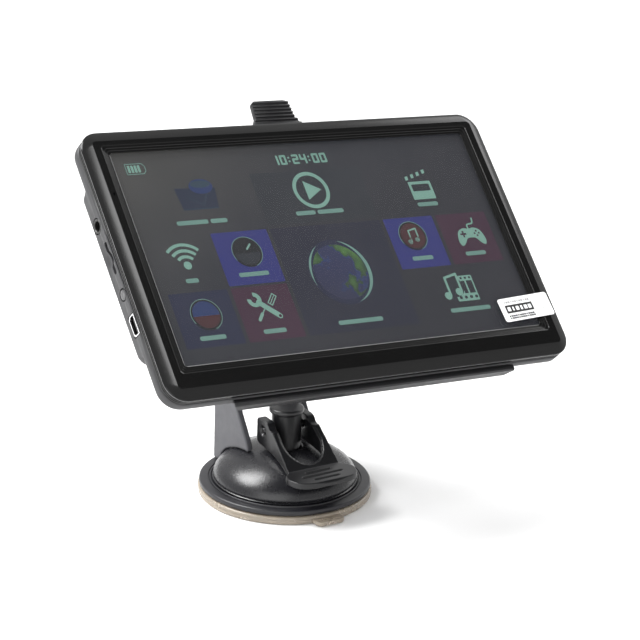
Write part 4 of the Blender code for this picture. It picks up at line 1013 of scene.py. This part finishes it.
def draw_badge(u, v, low_fill, high_fill="shade", radius=6.2):
    """A round icon: dark disc, two-toned inside like a horizon, with a thin bright rim."""
    ink("shade", circle(u, v, radius, 40), 1)
    ink(high_fill, circle(u, v, radius - 0.9, 40), 2)
    ink(low_fill, arc(u, v, radius - 0.9, 185, 355, 24), 3)
    band("pale", (u, v), radius - 0.22, radius, -70, 210, 2)


def draw_note(u, v, size, layer=3):
    stroke(MINT, [(u - size * 0.4, v - size * 0.6), (u - size * 0.4, v + size * 0.6),
                  (u + size * 0.5, v + size * 0.8), (u + size * 0.5, v - size * 0.4)], size * 0.16, layer)
    for a, b in ((-0.6, -0.62), (0.3, -0.42)):
        ink(MINT, circle(u + size * a, v + size * b, size * 0.26, 16), layer)


def draw_tools(u, v):
    stroke(MINT, [(u - 2.6, v + 2.4), (u + 4.2, v - 3.6)], 2.1)
    band(MINT, (u - 4.0, v + 3.6), 1.3, 2.9, 170, 450, steps=24)
    ink("purple", circle(u + 4.2, v - 3.6, 0.6, 16), 2)
    stroke(MINT, [(u - 4.6, v - 4.4), (u - 2.8, v - 2.2)], 1.2)
    stroke(MINT, [(u - 2.8, v - 2.2), (u - 0.4, v + 0.4)], 0.4)
    handle = [(u + 1.2, v + 2.0), (u + 4.0, v + 5.4), (u + 5.4, v + 4.2), (u + 2.6, v + 0.8)]
    stroke(MINT, handle, 0.4, closed=True)
    stroke(MINT, [(u + 2.0, v + 1.5), (u + 4.6, v + 4.7)], 0.3)


def draw_gamepad(u, v):
    half = smooth_curve([(0, 2.2), (2.6, 2.6), (5.2, 1.2), (6.4, -2.6), (5.6, -4.8), (3.8, -4.0), (2.0, -1.9),
                         (0, -1.6)], 5)
    ink(MINT, shifted(mirrored(half), u, v), 1)
    for ends in (((-1.1, 0), (1.1, 0)), ((0, -1.1), (0, 1.1))):
        stroke("purple", [(u - 3.2 + a, v + 0.1 + b) for a, b in ends], 0.75, 2)
    for a, b in ((-1.0, 0), (1.0, 0), (0, 1.0), (0, -1.0)):
        ink("purple", circle(u + 3.2 + a, v + 0.1 + b, 0.42, 12), 2)
    cord = [(u, v + 2.2), (u + 0.2, v + 4.0), (u + 2.8, v + 4.6), (u + 3.4, v + 6.6)]
    stroke(MINT, smooth_curve(cord, 6), 0.7)


def draw_film(u, v):
    panel(MINT, u - 3.4, u + 6.6, v - 6.0, v - 2.9, 1)
    panel(MINT, u + 0.2, u + 6.6, v + 2.4, v + 4.6, 1)
    for low, high in ((u + 0.2, u + 0.9), (u + 2.6, u + 3.3), (u + 6.0, u + 6.6)):
        panel(MINT, low, high, v - 3.0, v + 2.6, 1)
    for i in range(4):
        panel("slate", u - 2.4 + 2.4 * i, u - 1.1 + 2.4 * i, v - 5.1, v - 3.9, 2)
    for i in range(3):
        panel("slate", u + 1.0 + 2.0 * i, u + 2.0 + 2.0 * i, v + 3.1, v + 4.0, 2)
    ink("slate", circle(u - 3.0, v + 0.2, 4.3, 24), 2)
    draw_note(u - 3.4, v + 0.6, 6.2)


def draw_chart(u, v):
    sheet = [(u - 9.0, v + 3.2), (u - 8.0, v - 6.0), (u + 6.6, v - 6.0), (u + 7.8, v + 2.6)]
    ink("sky", sheet, 1)
    stroke("steel", [(u - 8.0, v - 5.7), (u + 6.6, v - 5.7)], 0.25, 2)
    stroke("steel", [(u - 5.0, v - 0.6), (u + 1.0, v - 4.4), (u + 3.6, v + 0.4)], 0.28, 2)
    ink("royal", [(u + 2.2 + a, v + 3.4 + b * 0.62) for a, b in circle(0, 0, 4.9, 28)], 2)
    ink("steel", [(u + 2.2 + a, v + 4.3 + b * 0.36) for a, b in circle(0, 0, 4.2, 28)], 3)


def crescent(centre, outer, start_deg, stretches, most, least):
    """A bright edge that is thickest in its middle, drawn in short stretches."""
    stretch_deg, overlap_deg = 5, 0.4
    for i in range(stretches):
        angle = start_deg + i * stretch_deg
        thick = most * math.sin(math.radians(180 * i / (stretches - 1))) + least
        band("pale", centre, outer - thick, outer, angle, angle + stretch_deg + overlap_deg, 3, 1)


def draw_globe(u, v):
    radius = 12.2
    ink("navy", circle(u, v, radius + 1.2, 48), 1)
    ink("globe", circle(u, v, radius - 0.8, 48), 2)
    crescent((u, v), radius + 0.9, -75, 30, 1.3, 0.15)
    crescent((u, v), radius + 0.9, 120, 16, 0.8, 0.1)


def draw_screen():
    draw_battery(-69.4, 36.0)
    draw_clock("10:24:00", 0.4, 34.3)
    columns = {"A": (-74.5, -50.5), "B": (-49.0, -25.4), "C": (26.4, 49.0), "D": (50.7, 74.2)}
    middle, bottom = (-13.7, 7.8), (-36.2, -14.6)
    for colour, column, row in (("blue", "B", middle), ("navy", "A", bottom), ("purple", "B", bottom),
                                ("blue", "C", middle), ("purple", "D", middle)):
        panel(colour, *columns[column], *row)
    panel("dusk", -23.8, 24.8, bottom[0], middle[1])
    panel("slate", -23.8, 24.8, 9.2, 31.0)
    draw_chart(-48.0, 23.8)
    draw_play(0.2, 22.5)
    draw_clapper(49.6, 21.3)
    draw_waves(-62.5, -0.1)
    draw_badge(-36.7, -0.7, "slate", "shade")
    stroke(MINT, [(-36.4, 0.4), (-34.6, 2.2)], 0.7, 4)
    draw_badge(-62.3, -23.7, "red", "royal")
    draw_tools(-37.1, -23.5)
    draw_globe(-0.7, -12.2)
    draw_badge(37.0, -0.1, "red", "red")
    draw_note(37.2, -0.2, 3.9)
    draw_gamepad(63.5, -1.4)
    draw_film(49.2, -23.2)
    captions = [(-50.4, 12.8, 13.0, 7.0), (0.3, 13.1, 8.5, 11.5), (49.7, 12.9, 9.5), (-62.9, -10.1, 5.2),
                (-37.2, -9.7, 12.5), (-62.8, -32.7, 10.5), (-37.3, -32.7, 9.5), (-0.3, -32.5, 19.5),
                (37.5, -9.7, 9.5), (62.5, -9.7, 9.5), (49.7, -32.6, 18.5)]
    for one_caption in captions:
        caption(*one_caption)
    for name, mesh_bm in INK_MESHES.items():
        material = glowing("ui_" + name, *UI_COLOURS[name]) if UI_COLOURS[name] else globe_face()
        on_display("ui_" + name, mesh_bm, material, "lcd_glass")


def make_screen():
    glass = prism(rounded_rect(79.4, -44.1, 44.1, 1.0, 4), GLASS_BACK, GLASS_FRONT)
    on_display("touch_glass", glass, screen_glass(), "screen_glass", "touch_panel")
    lcd = prism(rounded_rect(79.2, -44.0, 44.0, 1.0, 4), LCD_BACK, LCD_FRONT)
    on_display("lcd_face", lcd, dark_screen(), "lcd_glass", "lcd_panel")
    draw_screen()


def make_label():
    """The white film stuck over the screen's corner; blocks and bars stand in for its print."""
    turn_deg, centre, low, high = 3.0, (73.6, -35.2), 0.30, 0.45
    print_low, print_high = high - 0.02, high + 0.012

    def at(outline, by_u=0.0, by_v=0.0):
        return shifted(shifted(outline, by_u, by_v), *centre, turn_deg)

    def blocks(mesh_bm, widths, half_height, corner, first_u, pitch, v, steps=2, top=print_high):
        for i, width in enumerate(widths):
            outline = rounded_rect(width, -half_height, half_height, corner, steps)
            prism(at(outline, first_u + pitch * i, v), print_low, top, into=mesh_bm)

    def film_outline(inset):
        return at(rounded_rect(12.0 - inset, -4.85 + inset, 4.85 - inset, 1.1))

    on_display("label_sheet", pillow(film_outline, low, high, 0.06), LABEL, "label_film", "film_label")
    black, grey, white = bmesh.new(), bmesh.new(), bmesh.new()
    blocks(black, [6.6], 1.7, 0.1, -3.2, 0.0, 0.2)
    for v, first_u in ((-2.7, -9.3), (-3.6, -9.1)):
        blocks(black, [0.46 if i % 4 else 0.30 for i in range(12)], 0.34, 0.08, first_u, 1.05, v)
    on_display("label_black_bar", black, INK, "label_film")
    blocks(grey, [0.42 if i % 3 else 0.25 for i in range(12)], 0.45, 0.08, -9.2, 1.05, 3.1)
    border, tick = rounded_rect(2.6, -3.6, 3.6, 0.9, 5), [(-1.5, 1.6), (-0.3, -1.8), (1.4, 2.2)]
    for points, width, closed in ((border, 0.14, True), (tick, 0.16, False)):
        for bar in bars(points, width, closed, 0.45, 2):
            prism(at(bar, 8.2, 0.0), print_low, print_high, into=grey)
    on_display("label_grey_print", grey, FADED_INK, "label_film")
    blocks(white, (0.75, 0.35, 0.75, 0.5, 0.75, 0.75), 0.85, 0.2, -8.2, 2.0, 0.2, 3, print_high + 0.01)
    on_display("label_white_blocks", white, LABEL, "label_film")


def paint_kept_nodes():
    """Every CAD node that still shows gets a finish by its slot."""
    finishes = {
        "screw_steel": ZINC,
        "sheet_steel": PLATED,
        "nylon": NYLON,
        "port_plastic": PORT,
        "board": moulded("board_mask", (0.015, 0.12, 0.05), 0.35, grain=0.8),
        "chip_epoxy": moulded("chip_epoxy", (0.025, 0.025, 0.025), 0.5),
        "ceramic": moulded("ceramic", (0.62, 0.54, 0.42), 0.6),
        "battery_foil": brushed("battery_foil", (0.55, 0.56, 0.58), 0.4),
        "ribbon_film": moulded("ribbon_film", (0.45, 0.20, 0.04), 0.35),
    }
    slots = {part["node"]: part["material_slot"] for part in frame["record"]["subparts"]}
    for name, obj in frame["nodes"].items():
        if not obj.hide_render:
            obj.data.materials.clear()
            obj.data.materials.append(finishes[slots[name]])


# ---- stage ----
def make_floor():
    half = 4000.0
    floor = solid("floor", prism(rounded_rect(half, -half, half, 100.0, 4), -10.0, -0.02))
    floor.data.materials.append(moulded("floor_paper", (0.86, 0.86, 0.86), 0.7, grain=2.0, depth=0.01,
                                        variation=0.01, specular=0.2, mottle=200.0))


def make_world():
    """An even white sky, dimmed around the direction that the bezel and the screen mirror to the camera."""
    bright, dim, mirrored_sky = 0.8, 0.15, Vector((0.63, -0.21, 0.75)).normalized()
    world = bpy.data.worlds.new("studio")
    world.use_nodes = True
    tree = world.node_tree
    place = add_node(tree, "TexCoord").outputs["Generated"]
    dimmer = spread(tree, reach_along(tree, place, mirrored_sky), 0.90, 0.97, bright, dim)
    dimmer.interpolation_type = "SMOOTHSTEP"
    tree.links.new(dimmer.outputs["Result"], tree.nodes["Background"].inputs["Strength"])
    put(tree.nodes["Background"], Color=(1.0, 1.0, 1.0, 1.0))
    bpy.context.scene.world = world
    bpy.context.scene.view_settings.view_transform = "Standard"


SOFT_BOXES = {  # name: direction from the object, distance and width in metres, watts
    "key": ((-0.46, 0.36, 0.81), 1.1, 0.6, 21.0),
    "top": ((0.20, -0.35, 0.92), 1.15, 0.34, 3.0),
    "left": ((-0.75, -0.60, 0.25), 1.5, 1.4, 10.0),
    "right": ((0.80, 0.20, 0.57), 1.3, 0.5, 2.4),
}
LIT_POINT = Vector((0, -15, 80)) * MM
CAMERA_PLACE, CAMERA_TURN_DEG = (-0.42437, -0.70097, 0.3610), (70.429, -1.799, -31.363)
LENS, SENSOR_WIDTH = 129.71, 36.0


def make_lights():
    for name, (direction, distance, width, power) in SOFT_BOXES.items():
        toward = Vector(direction).normalized()
        light = bpy.data.lights.new(name, "AREA")
        light.shape = "SQUARE"
        light.size = width
        light.energy = power
        obj = bpy.data.objects.new(name, light)
        obj.location = LIT_POINT + toward * distance
        obj.rotation_mode = "QUATERNION"
        obj.rotation_quaternion = toward.to_track_quat("Z", "Y")
        bpy.context.scene.collection.objects.link(obj)


def make_camera():
    camera = bpy.data.cameras.new("camera")
    camera.lens = LENS
    camera.sensor_width = SENSOR_WIDTH
    obj = bpy.data.objects.new("camera", camera)
    obj.location = CAMERA_PLACE
    obj.rotation_euler = [math.radians(angle) for angle in CAMERA_TURN_DEG]
    bpy.context.scene.collection.objects.link(obj)
    bpy.context.scene.camera = obj


make_pad()
make_flange()
make_dome()
make_stem()
make_lever()
make_arm()
make_socket()
make_stud()
make_cradle()
make_latch()
make_bezel()
make_rear()
make_ports()
make_screen()
make_label()
paint_kept_nodes()
make_floor()
make_world()
make_lights()
make_camera()
